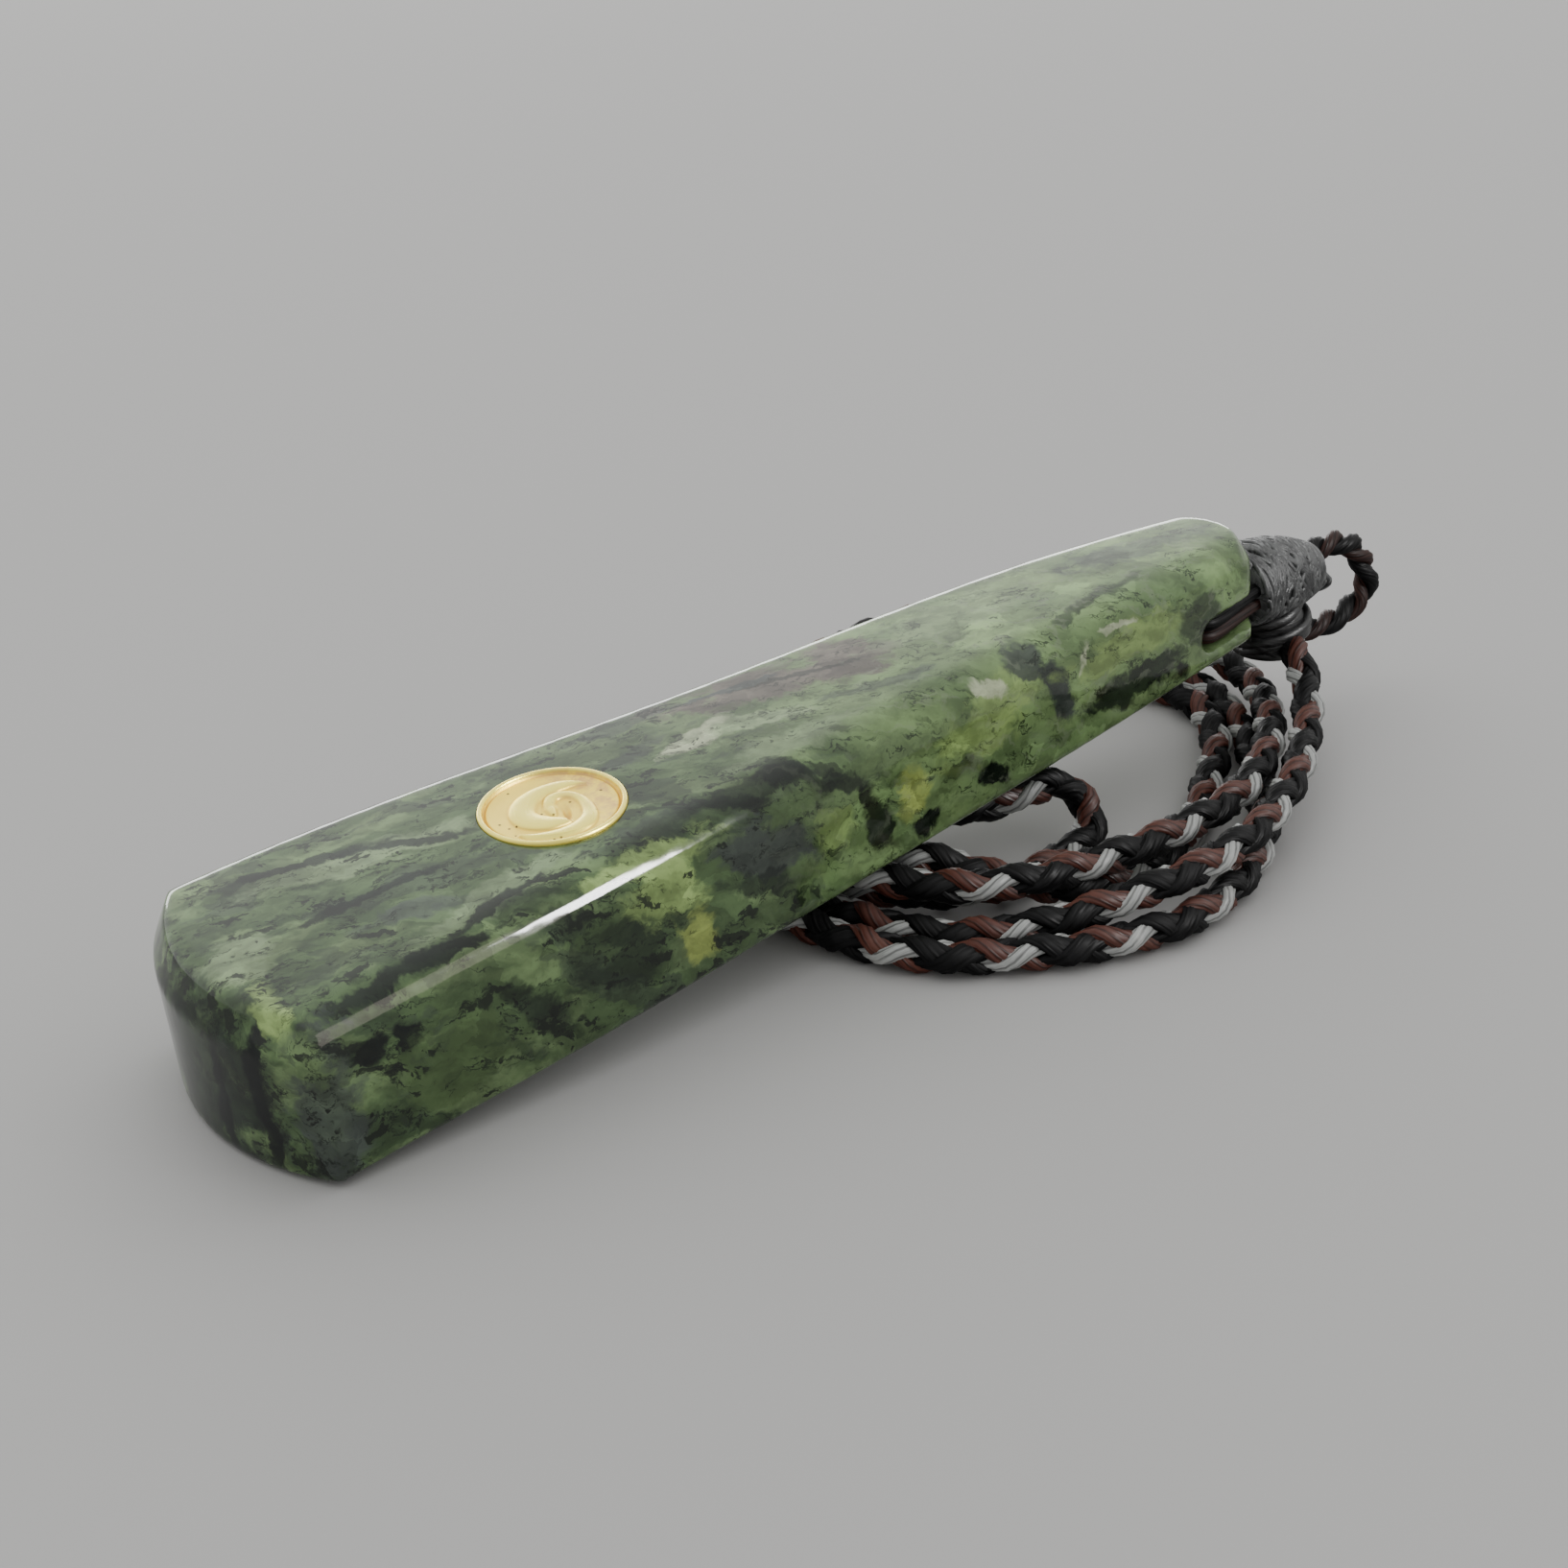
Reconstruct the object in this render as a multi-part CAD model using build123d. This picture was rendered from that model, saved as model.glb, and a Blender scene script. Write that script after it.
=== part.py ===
from build123d import *

import math
import os
from collections import namedtuple

# Polished jade drop with an inlaid gold disc, hung from a braided neck cord that lies coiled under it.
# The drop lies on its underside, wide end down, with its narrow end raised on the coil.
# X runs along the drop towards its narrow end, Z is up, and the origin is on the ground,
# under the middle of the jewel without its neck cord. Sizes are in millimetres and degrees.

# Jade drop, measured along its own length, from the corners of the wide end
DROP_LENGTH = 80.2
WIDE_WIDTH = 21.2
NARROW_WIDTH = 7.2
WIDE_THICKNESS = 10.9
NARROW_THICKNESS = 7.2
END_BULGE = 3.75
END_LEAN = -0.6
END_EASE = 0.35
END_BEVEL_HEIGHT = 2.6
END_BEVEL_DEPTH = 1.1
NEAR_TOP_ROUND = 3.0
FAR_TOP_ROUND = 1.9
BOTTOM_ROUND = 0.8
TIP_CURVE = 4.7
TIP_BEVEL_HEIGHT = 2.2
TIP_BEVEL_DEPTH = 0.9
CROWN_ANGLE = 3.9
REST_TILT = 6.27

# Sections of the drop: place along it, half widths on the near and far side as shares of the taper
# from narrow to wide, height of the top as a share of the taper from thin to thick, and top rounding
# as a share of the full one
Section = namedtuple("Section", "along near far top rounding")
SECTIONS = (
    Section(-0.08, 1.02, 1.00, 1.00, 1.00),
    Section(0.10, 0.87, 0.94, 1.00, 0.98),
    Section(0.25, 0.81, 0.74, 0.99, 0.95),
    Section(0.45, 0.63, 0.45, 0.90, 0.91),
    Section(0.65, 0.44, 0.30, 0.76, 0.87),
    Section(0.84, 0.24, 0.16, 0.52, 0.83),
    Section(1.02, 0.01, 0.01, 0.08, 0.80),
)
SLOPE_SHARE = 0.05

# Cross hole for the lashing, with a groove from it to the narrow end on each side
HOLE_DIAMETER = 2.5
HOLE_FROM_TIP = 6.2
HOLE_HEIGHT = 2.45
LASHING_DIAMETER = 2.0
LASHING_SPREAD = 7.4
LASHING_GATHER = 4.5
LASHING_TAIL = 1.5

# Gold disc let into the top
DISC_DIAMETER = 9.4
DISC_THICKNESS = 1.1
DISC_ALONG = 21.7
DISC_ACROSS = -0.6
DISC_PROUD = 0.15
DISC_CLEARANCE = 0.04
RIM_WIDTH = 0.42
RIM_HEIGHT = 0.35
SPIRAL_HEIGHT = 0.28
SPIRAL_START = 0.30
SPIRAL_REACH = 3.6
SPIRAL_TURN = 330.0
SPIRAL_WIDTH = 1.15
SPIRAL_GROWTH = 0.8
SPIRAL_STEPS = 8
SPIRAL_RIM_GAP = 0.21
# Width of a spiral band along its length: thinnest share, and where on a swell it starts and ends
SPIRAL_THINNEST = 0.35
SPIRAL_SWELL = (0.15, 0.85)

# Thread whipping that binds the cords behind the narrow end, a cone that droops a little
WHIPPING_GAP = 0.3
WHIPPING_LENGTH = 10.4
WHIPPING_BASE_WIDTH = 6.8
WHIPPING_BASE_HEIGHT = 5.2
WHIPPING_BELLY = 5.8
WHIPPING_TIP = 3.0
WHIPPING_BASE_LEVEL = 2.2
WHIPPING_BELLY_LEVEL = 1.7
WHIPPING_TIP_LEVEL = 0.55
WHIPPING_BELLY_SHARE = 0.33

# Small loop of thin cord from the whipping's tip down to the knot
LOOP_DIAMETER = 1.7
LOOP_REACH = 5.0
LOOP_DROP = 5.4
# Its route as shares of its reach past the whipping and of its drop below the tip's level
LoopPoint = namedtuple("LoopPoint", "reach drop")
LOOP_ROUTE = (
    LoopPoint(-0.34, 0.00),
    LoopPoint(0.42, 0.05),
    LoopPoint(0.83, 0.42),
    LoopPoint(0.55, 0.90),
    LoopPoint(-0.20, 0.94),
    LoopPoint(-1.10, 0.72),
)

# Knot that gathers the two ends of the neck cord, under the whipping
KNOT_DIAMETER = 5.2
KNOT_HEIGHT = 3.6
KNOT_ROUND = 1.3
KNOT_BEHIND_TIP = 4.0
KNOT_BOTTOM = 5.65

# Neck cord and its coil, which the drop's narrow half rests on
CORD_DIAMETER = 2.6
CORD_ARC_SHARE = 0.45
COIL_LENGTH = 61.0
COIL_WIDTH = 41.0
COIL_BAND = 10.2
COIL_HEIGHT = 5.1
COIL_CENTRE = (15.8, 1.7)
COIL_TURN = 31.0
BIGHT_LENGTH = 24.0
BIGHT_WIDTH = 6.2
BIGHT_CENTRE = (4.1, -6.4)
BIGHT_HEIGHT = 4.6
REST_CLEARANCE = 0.3

# Neck cord from the knot to the coil, points chosen by hand, in place
LEAD_NEAR_POINTS = ((39.0, -0.9, 7.4), (37.6, -4.1, 6.4), (36.2, -6.1, 5.3))
LEAD_FAR_POINTS = ((38.4, 1.3, 7.2), (37.7, 4.3, 5.8), (36.8, 8.1, 4.4))


def between(start, end, share):
    """Value at this share of the way from start to end."""
    return start + (end - start) * share


def top_height(share):
    """Height of the drop's top above its underside, at a share of the thickness taper."""
    return between(NARROW_THICKNESS, WIDE_THICKNESS, share)


def half_width(share):
    """Half width of the drop at a share of the width taper."""
    return between(NARROW_WIDTH, WIDE_WIDTH, share) / 2


def section_at(along_share):
    """Section values at any share of the length, read between the table's rows."""
    for low, high in zip(SECTIONS, SECTIONS[1:]):
        if along_share <= high.along:
            step = (along_share - low.along) / (high.along - low.along)
            return Section(*[between(a, b, step) for a, b in zip(low, high)])
    return SECTIONS[-1]


def drop_section(row):
    """Closed outline across the drop: flat underside, rounded edges and a gently crowned top."""
    x = row.along * DROP_LENGTH
    near_y, far_y = -half_width(row.near), half_width(row.far)
    height = top_height(row.top)
    near_radius, far_radius = NEAR_TOP_ROUND * row.rounding, FAR_TOP_ROUND * row.rounding
    slope = math.radians(CROWN_ANGLE)
    near_crown = near_y + near_radius * (1 - math.sin(slope))
    far_crown = far_y - far_radius * (1 - math.sin(slope))
    crown_edge = height - (far_crown - near_crown) / 2 * math.tan(slope / 2)
    middle_y = (near_crown + far_crown) / 2

    def corner(side_y, inward, centre, radius, first, last):
        """Arc of a rounded edge, from its first to its last angle above the level."""
        angles = [first, (first + last) / 2, last]
        centre_y = side_y + inward * radius
        return ThreePointArc(*[
            (x, centre_y - inward * radius * math.cos(a), centre + radius * math.sin(a)) for a in angles
        ])

    def top_corner(side_y, inward, radius, first, last):
        """Arc of a rounded top edge, whose upper end meets the crown."""
        return corner(side_y, inward, crown_edge - radius * math.cos(slope), radius, first, last)

    quarter = math.pi / 2
    far_low = corner(far_y, -1, BOTTOM_ROUND, BOTTOM_ROUND, -quarter, 0)
    far_top = top_corner(far_y, -1, far_radius, 0, quarter - slope)
    near_top = top_corner(near_y, 1, near_radius, quarter - slope, 0)
    near_low = corner(near_y, 1, BOTTOM_ROUND, BOTTOM_ROUND, 0, -quarter)
    edges = [
        Line(near_low @ 1, far_low @ 0),
        far_low,
        Line(far_low @ 1, far_top @ 0),
        far_top,
        ThreePointArc(far_top @ 1, (x, middle_y, height), near_top @ 0),
        near_top,
        Line(near_top @ 1, near_low @ 0),
        near_low,
    ]
    return Wire(edges)


def end_envelope(radius, height, bevel_depth, bevel_height):
    """Everything inside an end curved in plan, bevelled at its top and eased at its bottom.

    The curve's centre is the origin. On the other side of it, everything is inside.
    """
    profile = Polyline(
        (0, 0, -END_EASE),
        (radius - 2 * END_EASE, 0, -END_EASE),
        (radius, 0, END_EASE),
        (radius, 0, height - bevel_height),
        (radius - bevel_depth, 0, height - END_EASE),
        (radius - 3 * bevel_depth, 0, height + END_EASE),
        (0, 0, height + END_EASE),
        close=True,
    )
    turned = revolve(make_face(profile), Axis.Z)
    reach = 2 * DROP_LENGTH
    low = (Align.MIN, Align.CENTER, Align.CENTER)
    return turned + Box(reach, 4 * WIDE_WIDTH, 4 * WIDE_THICKNESS, align=low)


def rounded_ends(body):
    """The drop's body, cut to its two curved ends."""
    half_chord = WIDE_WIDTH / 2
    wide_radius = (half_chord ** 2 + END_BULGE ** 2) / (2 * END_BULGE)
    wide = end_envelope(wide_radius, WIDE_THICKNESS, END_BEVEL_DEPTH, END_BEVEL_HEIGHT)
    tip_height = top_height(section_at(1 - TIP_CURVE / DROP_LENGTH).top)
    tip = end_envelope(TIP_CURVE, tip_height, TIP_BEVEL_DEPTH, TIP_BEVEL_HEIGHT)
    body &= Pos(wide_radius - END_BULGE, END_LEAN, 0) * wide
    return body & Pos(DROP_LENGTH - TIP_CURVE, 0, 0) * Rot(0, 0, 180) * tip


def lashing_points(side):
    """Where the lashing turns out of the hole, and where it enters the whipping, on one side."""
    hole_x = DROP_LENGTH - HOLE_FROM_TIP
    mouth = Vector(hole_x, side * LASHING_SPREAD / 2, HOLE_HEIGHT)
    gather = Vector(DROP_LENGTH + WHIPPING_GAP, side * LASHING_GATHER / 2, WHIPPING_BASE_LEVEL)
    return mouth, gather


def rod(start, end, diameter):
    """Round bar from one point to another."""
    path = Line(start, end)
    return sweep(Plane(origin=start, z_dir=path % 0) * Circle(diameter / 2), path)


def jade_drop():
    """Tapered stone with a curved wide end, a crowned top, a cross hole and two grooves."""
    body = Solid.make_loft([drop_section(row) for row in SECTIONS])
    body = rounded_ends(body)
    hole_x = DROP_LENGTH - HOLE_FROM_TIP
    body -= Pos(hole_x, 0, HOLE_HEIGHT) * Rot(90, 0, 0) * Cylinder(HOLE_DIAMETER / 2, 2 * WIDE_WIDTH)
    for side in (-1, 1):
        mouth, gather = lashing_points(side)
        beyond = gather + (gather - mouth)
        outside = side * WIDE_WIDTH
        channel = Polyline(
            (mouth.X, mouth.Y), (beyond.X, beyond.Y), (beyond.X, outside), (mouth.X, outside), close=True
        )
        slot = extrude(make_face(channel), HOLE_DIAMETER / 2, both=True)
        body -= Pos(0, 0, HOLE_HEIGHT) * slot
        level_end = Vector(beyond.X, beyond.Y, HOLE_HEIGHT)
        body -= rod(mouth, level_end, HOLE_DIAMETER)
    seat = Cylinder(
        DISC_DIAMETER / 2 + DISC_CLEARANCE, WIDE_THICKNESS, align=(Align.CENTER, Align.CENTER, Align.MIN)
    )
    body -= disc_place() * Pos(0, 0, -DISC_THICKNESS - DISC_CLEARANCE) * seat
    return body.solids().sort_by(SortBy.VOLUME)[-1]


def disc_place():
    """Place of the disc's rim level: in the crowned top, square to it."""
    share = DISC_ALONG / DROP_LENGTH
    here = top_height(section_at(share).top)
    ahead = top_height(section_at(share + SLOPE_SHARE).top)
    fall = (here - ahead) / (SLOPE_SHARE * DROP_LENGTH)
    level = here + DISC_PROUD
    return Pos(DISC_ALONG, DISC_ACROSS, level) * Rot(0, math.degrees(math.atan(fall)), 0)


def spiral_ridge(turned_by):
    """One raised band of the double spiral, narrow at the middle and broad at its outer end."""
    outer, inner = [], []
    for step in range(SPIRAL_STEPS + 1):
        share = step / SPIRAL_STEPS
        radius = between(SPIRAL_START, SPIRAL_REACH, share ** SPIRAL_GROWTH)
        swell = math.sin(math.pi * between(*SPIRAL_SWELL, share))
        half = SPIRAL_WIDTH / 2 * between(SPIRAL_THINNEST, 1, swell)
        angle = math.radians(turned_by + SPIRAL_TURN * share)
        outer.append(((radius + half) * math.cos(angle), (radius + half) * math.sin(angle)))
        inner.append(((radius - half) * math.cos(angle), (radius - half) * math.sin(angle)))
    out_edge, in_edge = Spline(*outer), Spline(*inner)
    outline = [out_edge, Line(outer[-1], inner[-1]), in_edge, Line(inner[0], outer[0])]
    return extrude(make_face(outline), SPIRAL_HEIGHT)


def gold_disc():
    """Round inlay: a plate with a raised rim and a raised double spiral inside it."""
    plate_height = DISC_THICKNESS - RIM_HEIGHT
    low = (Align.CENTER, Align.CENTER, Align.MIN)
    plate = Cylinder(DISC_DIAMETER / 2, DISC_THICKNESS, align=low)
    field = Cylinder(DISC_DIAMETER / 2 - RIM_WIDTH, DISC_THICKNESS, align=low)
    disc = plate - Pos(0, 0, plate_height) * field
    inside = Cylinder(DISC_DIAMETER / 2 - RIM_WIDTH - SPIRAL_RIM_GAP, DISC_THICKNESS, align=low)
    for turned_by in (0, 180):
        disc += Pos(0, 0, plate_height) * (spiral_ridge(turned_by) & inside)
    return disc_place() * Pos(0, 0, -DISC_THICKNESS) * disc


def hole_lashing():
    """Cord through the cross hole and along both grooves, into the whipping."""
    half = LASHING_DIAMETER / 2
    near_mouth, near_end = lashing_points(-1)
    far_mouth, far_end = lashing_points(1)
    cord = rod(near_mouth, far_mouth, LASHING_DIAMETER)
    for mouth, end in ((near_mouth, near_end), (far_mouth, far_end)):
        beyond = end + (end - mouth).normalized() * LASHING_TAIL
        cord += Pos(*mouth) * Sphere(half)
        cord += rod(mouth, beyond, LASHING_DIAMETER)
    return cord - thread_whipping()


def thread_whipping():
    """Cone of bound thread, broad against the drop and thin at its tip."""
    start = DROP_LENGTH + WHIPPING_GAP
    belly = start + WHIPPING_LENGTH * WHIPPING_BELLY_SHARE
    rings = (
        (start, WHIPPING_BASE_WIDTH, WHIPPING_BASE_HEIGHT, WHIPPING_BASE_LEVEL),
        (belly, WHIPPING_BELLY, WHIPPING_BELLY, WHIPPING_BELLY_LEVEL),
        (start + WHIPPING_LENGTH, WHIPPING_TIP, WHIPPING_TIP, WHIPPING_TIP_LEVEL),
    )
    faces = [
        Plane(origin=(x, 0, level), x_dir=(0, 1, 0), z_dir=(1, 0, 0)) * Ellipse(width / 2, height / 2)
        for x, width, height, level in rings
    ]
    return loft(faces)


def corner_radii(points):
    """Largest arc at each inner point of a cord's route that its two runs leave room for."""
    radii = []
    for before, here, after in zip(points, points[1:], points[2:]):
        back, ahead = Vector(*before) - Vector(*here), Vector(*after) - Vector(*here)
        half_turn = math.radians(180 - back.get_angle(ahead)) / 2
        radii.append(CORD_ARC_SHARE * min(back.length, ahead.length) / math.tan(half_turn))
    return radii


def cord_tube(name, points, diameter):
    """Tube of straight runs joined by tangent arcs, with its radii and volume printed."""
    radii = corner_radii(points)
    path = FilletPolyline(*points, radius=radii)
    tube = sweep(Plane(origin=path @ 0, z_dir=path % 0) * Circle(diameter / 2), path)
    due = math.pi * diameter ** 2 / 4 * path.length
    print(name, "length", round(path.length, 1), "radii", [round(r, 1) for r in radii])
    print(name, "volume", round(tube.volume, 2), "section times length", round(due, 2))
    return tube


def tip_loop():
    """Thin stiff loop from the whipping's tip round and back to the knot."""
    tip_x = DROP_LENGTH + WHIPPING_GAP + WHIPPING_LENGTH
    points = [
        (tip_x + row.reach * LOOP_REACH, 0, WHIPPING_TIP_LEVEL - row.drop * LOOP_DROP) for row in LOOP_ROUTE
    ]
    return cord_tube("tip_loop", points, LOOP_DIAMETER) - thread_whipping()


def cord_knot():
    """Squat round knot, upright, with eased edges."""
    knot = Cylinder(KNOT_DIAMETER / 2, KNOT_HEIGHT, align=(Align.CENTER, Align.CENTER, Align.MIN))
    return fillet(knot.edges().filter_by(GeomType.CIRCLE), KNOT_ROUND)


def neck_cord_coil(ceiling):
    """Outer shape of the coiled cord: a low oval ring with the bight that lies inside it."""
    half_length, half_width_across = COIL_LENGTH / 2, COIL_WIDTH / 2
    ring = extrude(Ellipse(half_length, half_width_across), COIL_HEIGHT)
    ring -= extrude(Ellipse(half_length - COIL_BAND, half_width_across - COIL_BAND), COIL_HEIGHT)
    coil = Pos(*COIL_CENTRE, 0) * Rot(0, 0, COIL_TURN) * ring
    bight = extrude(SlotOverall(BIGHT_LENGTH, BIGHT_WIDTH), BIGHT_HEIGHT)
    return coil + Pos(*BIGHT_CENTRE, 0) * bight - ceiling


def build():
    """All pieces by name, in place."""
    stone = jade_drop()
    lie = Rot(0, -REST_TILT, 0)
    lift = -(lie * stone).bounding_box().min.Z
    raised = Pos(0, 0, lift) * lie
    pieces = {
        "jade_drop": raised * stone,
        "gold_disc": raised * gold_disc(),
        "hole_lashing": raised * hole_lashing(),
        "thread_whipping": raised * thread_whipping(),
    }
    knot_x = raised * Pos(DROP_LENGTH + KNOT_BEHIND_TIP, 0, 0)
    knot = Pos(knot_x.position.X, 0, KNOT_BOTTOM) * cord_knot()
    loop = raised * tip_loop() - knot
    pieces["tip_loop"] = loop.solids().sort_by(SortBy.VOLUME)[-1]
    pieces["cord_knot"] = knot - pieces["thread_whipping"]

    boxes = [piece.bounding_box() for piece in pieces.values()]
    middle_x = (min(box.min.X for box in boxes) + max(box.max.X for box in boxes)) / 2
    middle_y = (min(box.min.Y for box in boxes) + max(box.max.Y for box in boxes)) / 2
    home = Pos(-middle_x, -middle_y, 0)
    pieces = {name: home * piece for name, piece in pieces.items()}
    span = 2 * DROP_LENGTH
    above = Box(span, span, span, align=(Align.MIN, Align.CENTER, Align.MIN))
    ceiling = home * raised * Pos(-DROP_LENGTH / 2, 0, -REST_CLEARANCE) * above
    print("moved home by", home.position, "lifted by", round(lift, 3))

    coil = neck_cord_coil(ceiling)
    for name, points in (("neck_cord_near", LEAD_NEAR_POINTS), ("neck_cord_far", LEAD_FAR_POINTS)):
        tube = cord_tube(name, points, CORD_DIAMETER) - pieces["cord_knot"] - coil
        pieces[name] = tube.solids().sort_by(SortBy.VOLUME)[-1]
    pieces["neck_cord_coil"] = coil
    return pieces


os.makedirs("parts", exist_ok=True)
for name, piece in build().items():
    print(name, "solids", len(piece.solids()), "volume", round(piece.volume, 1))
    export_step(piece, f"parts/{name}.step")
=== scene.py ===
# %% [markdown]
# # A jade drop on a braided cord
# The object is a long polished drop of green jade with a small gold disc let into its top. A dark
# cord goes through a hole in its narrow end and is bound with grey thread, and the braided neck
# cord lies coiled under it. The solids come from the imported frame, in metres, and every piece
# that is made here is placed by them.

# %% Load the frame
import math

import bmesh
import bpy
import numpy as np
from mathutils import Matrix, Vector


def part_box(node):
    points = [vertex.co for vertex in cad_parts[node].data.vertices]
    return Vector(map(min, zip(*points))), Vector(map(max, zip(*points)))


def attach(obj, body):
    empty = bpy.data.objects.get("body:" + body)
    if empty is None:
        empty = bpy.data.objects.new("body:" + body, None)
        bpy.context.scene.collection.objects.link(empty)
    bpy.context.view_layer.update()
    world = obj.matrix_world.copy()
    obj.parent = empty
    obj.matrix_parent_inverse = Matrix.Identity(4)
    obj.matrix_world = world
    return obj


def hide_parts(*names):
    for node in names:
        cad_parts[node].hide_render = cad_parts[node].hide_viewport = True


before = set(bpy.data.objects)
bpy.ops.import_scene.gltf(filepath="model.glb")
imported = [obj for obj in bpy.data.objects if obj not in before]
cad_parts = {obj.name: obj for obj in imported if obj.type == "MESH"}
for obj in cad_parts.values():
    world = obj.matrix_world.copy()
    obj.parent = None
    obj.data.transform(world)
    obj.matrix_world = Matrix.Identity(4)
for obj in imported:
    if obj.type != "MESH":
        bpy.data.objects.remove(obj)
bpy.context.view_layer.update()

MM = 0.001

# %% [markdown]
# ## The camera
# A camera is its place, its direction and its angle of view. These were measured once, and are
# kept as a heading from +Y towards +X, a pitch below the level and a small roll, because those
# three turns, one after another, are how a hand-held camera is pointed. A long lens close to a
# small object needs a near clipping distance of a few millimetres.

# %% The camera
CAMERA_PLACE = (-110.74 * MM, -132.61 * MM, 91.98 * MM)
CAMERA_HEADING = 38.17
CAMERA_PITCH = 26.27
CAMERA_ROLL = -1.07
VIEW_ANGLE = 30.0

camera_data = bpy.data.cameras.new("camera")
camera_data.angle = math.radians(VIEW_ANGLE)
camera_data.clip_start = 10 * MM
camera = bpy.data.objects.new("camera", camera_data)
bpy.context.collection.objects.link(camera)
pointing = (
    Matrix.Rotation(math.radians(-CAMERA_HEADING), 4, "Z")
    @ Matrix.Rotation(math.radians(90 - CAMERA_PITCH), 4, "X")
    @ Matrix.Rotation(math.radians(CAMERA_ROLL), 4, "Z")
)
camera.matrix_world = Matrix.Translation(CAMERA_PLACE) @ pointing
bpy.context.scene.camera = camera
print("camera looks along", [round(x, 3) for x in pointing @ Vector((0, 0, -1))])

# %% [markdown]
# ## The route of the neck cord
# The cord is one strand, from the knot round the coil in four loose turns, and back to the knot.
# It could be dropped into place by a simulation, but then nobody could say where it ends up. A
# coil is easier to say as an angle, a distance from its middle and a height, so each turn is a few
# rows of those three, and a loop draws the smooth turn through them. The rows differ from turn to
# turn, so the turns lie over and beside each other as loose ones do. The fold inside the coil and
# the two ends that come down from the knot aren't round, so they are short lists of points.

# %% The route's points
CORD_DIAMETER = 2.6 * MM
COIL_MIDDLE = (14.0, 1.5)
ANGLE_STEP = 15

LEAD_NEAR = [(39.0, -0.9, 7.4), (37.6, -4.1, 6.4), (36.2, -6.1, 5.3)]
LEAD_FAR = [(38.4, 1.3, 7.2), (37.7, 4.3, 5.8), (36.8, 8.1, 4.4)]
FOLD = [
    (-1.3, -5.6, 3.9), (-2.3, -3.0, 3.8), (-1.9, -0.1, 3.8), (0.6, 0.9, 3.7), (3.6, -0.9, 3.7),
    (7.2, -3.5, 3.8), (10.9, -4.9, 4.5), (12.8, -4.9, 4.7), (14.2, -5.8, 3.7), (14.2, -7.2, 2.2),
    (12.8, -8.2, 1.3), (11.0, -8.5, 1.3), (8.5, -9.0, 1.3), (5.8, -9.3, 1.3), (3.0, -8.7, 1.3),
    (0.4, -7.2, 1.3), (-1.8, -5.0, 1.3),
]

# Rows of the turns: angle clockwise from +X, distance from the coil's middle, height
TURNS_IN = [
    (25, 22.6, 4.6), (43, 20.5, 4.1), (68, 19.8, 3.9), (94, 20.6, 3.9), (113, 20.9, 3.0),
    (133, 21.6, 1.6), (150, 22.0, 1.3), (165, 20.9, 1.3), (200, 21.5, 1.3), (235, 22.0, 1.3),
    (270, 22.4, 1.3), (300, 24.8, 1.3), (330, 25.0, 1.3), (356, 22.6, 1.4), (375, 19.8, 1.3),
    (393, 18.0, 1.3), (413, 18.2, 1.3), (429, 19.2, 1.3), (444, 20.5, 1.3), (460, 22.2, 1.3),
    (483, 23.1, 1.3), (506, 24.7, 1.3), (530, 23.4, 1.3), (560, 24.4, 1.3), (595, 24.8, 1.3),
    (630, 24.7, 1.5), (663, 26.4, 3.7), (685, 26.7, 3.7), (716, 26.2, 2.0), (729, 22.9, 2.6),
    (751, 19.0, 3.7), (766, 17.8, 3.9), (781, 16.9, 3.9), (803, 16.0, 3.9), (829, 16.7, 3.9),
    (857, 19.6, 3.9), (870, 19.9, 3.6), (890, 19.0, 3.4), (920, 19.4, 3.6), (955, 20.6, 3.9),
    (990, 20.3, 3.2), (1015, 20.2, 1.5), (1045, 20.8, 1.3), (1076, 20.8, 1.3), (1098, 16.8, 1.3),
    (1124, 13.9, 1.3), (1155, 14.5, 1.3), (1180, 15.5, 1.3), (1205, 16.3, 2.2), (1225, 16.5, 3.9),
]
TURNS_OUT = [
    (170, 18.0, 1.3), (200, 18.4, 1.3), (235, 17.9, 1.3), (270, 17.6, 1.4), (300, 18.0, 2.9),
    (320, 20.3, 4.1), (335, 22.4, 4.4),
]
print("turns have", len(TURNS_IN) + len(TURNS_OUT), "rows")

# %% [markdown]
# ## Smooth turns
# Rows alone would give a coil with corners. A cubic curve through them keeps its slope from one
# row to the next, and it is read at angles a fixed step apart, so every part of a turn has its
# points. The arms of the spiral on the gold disc go through the same curve later.

# %% The route
def smooth_through(knots, rows, at):
    """Rows of numbers along the smooth curve that passes each of these rows at its knot."""
    knots, rows = np.array(knots, float), np.array(rows, float)
    slopes = np.gradient(rows, knots, axis=0)
    row = np.clip(np.searchsorted(knots, at, side="right") - 1, 0, len(knots) - 2)
    gap = (knots[row + 1] - knots[row])[:, None]
    share = (at - knots[row])[:, None] / gap
    smooth = share * share * (3 - 2 * share)
    leaving = slopes[row] * gap * share * (1 - share) ** 2
    arriving = slopes[row + 1] * gap * share * share * (1 - share)
    return rows[row] + (rows[row + 1] - rows[row]) * smooth + leaving - arriving


def turns(rows):
    """Points of smooth turns through these rows, a fixed angle apart."""
    first, last = rows[0][0], rows[-1][0]
    angles = np.linspace(first, last, round((last - first) / ANGLE_STEP) + 1)
    places = smooth_through([row[0] for row in rows], [row[1:] for row in rows], angles)
    made = []
    for turned, (distance, height) in zip(np.radians(angles), places):
        x = COIL_MIDDLE[0] + distance * math.cos(turned)
        y = COIL_MIDDLE[1] - distance * math.sin(turned)
        made.append((x, y, max(height, CORD_DIAMETER / MM / 2)))
    return made


neck_route = LEAD_NEAR + turns(TURNS_IN) + FOLD + turns(TURNS_OUT) + LEAD_FAR[::-1]
neck_route = [tuple(x * MM for x in point) for point in neck_route]
print("neck cord has", len(neck_route), "points")

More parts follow.
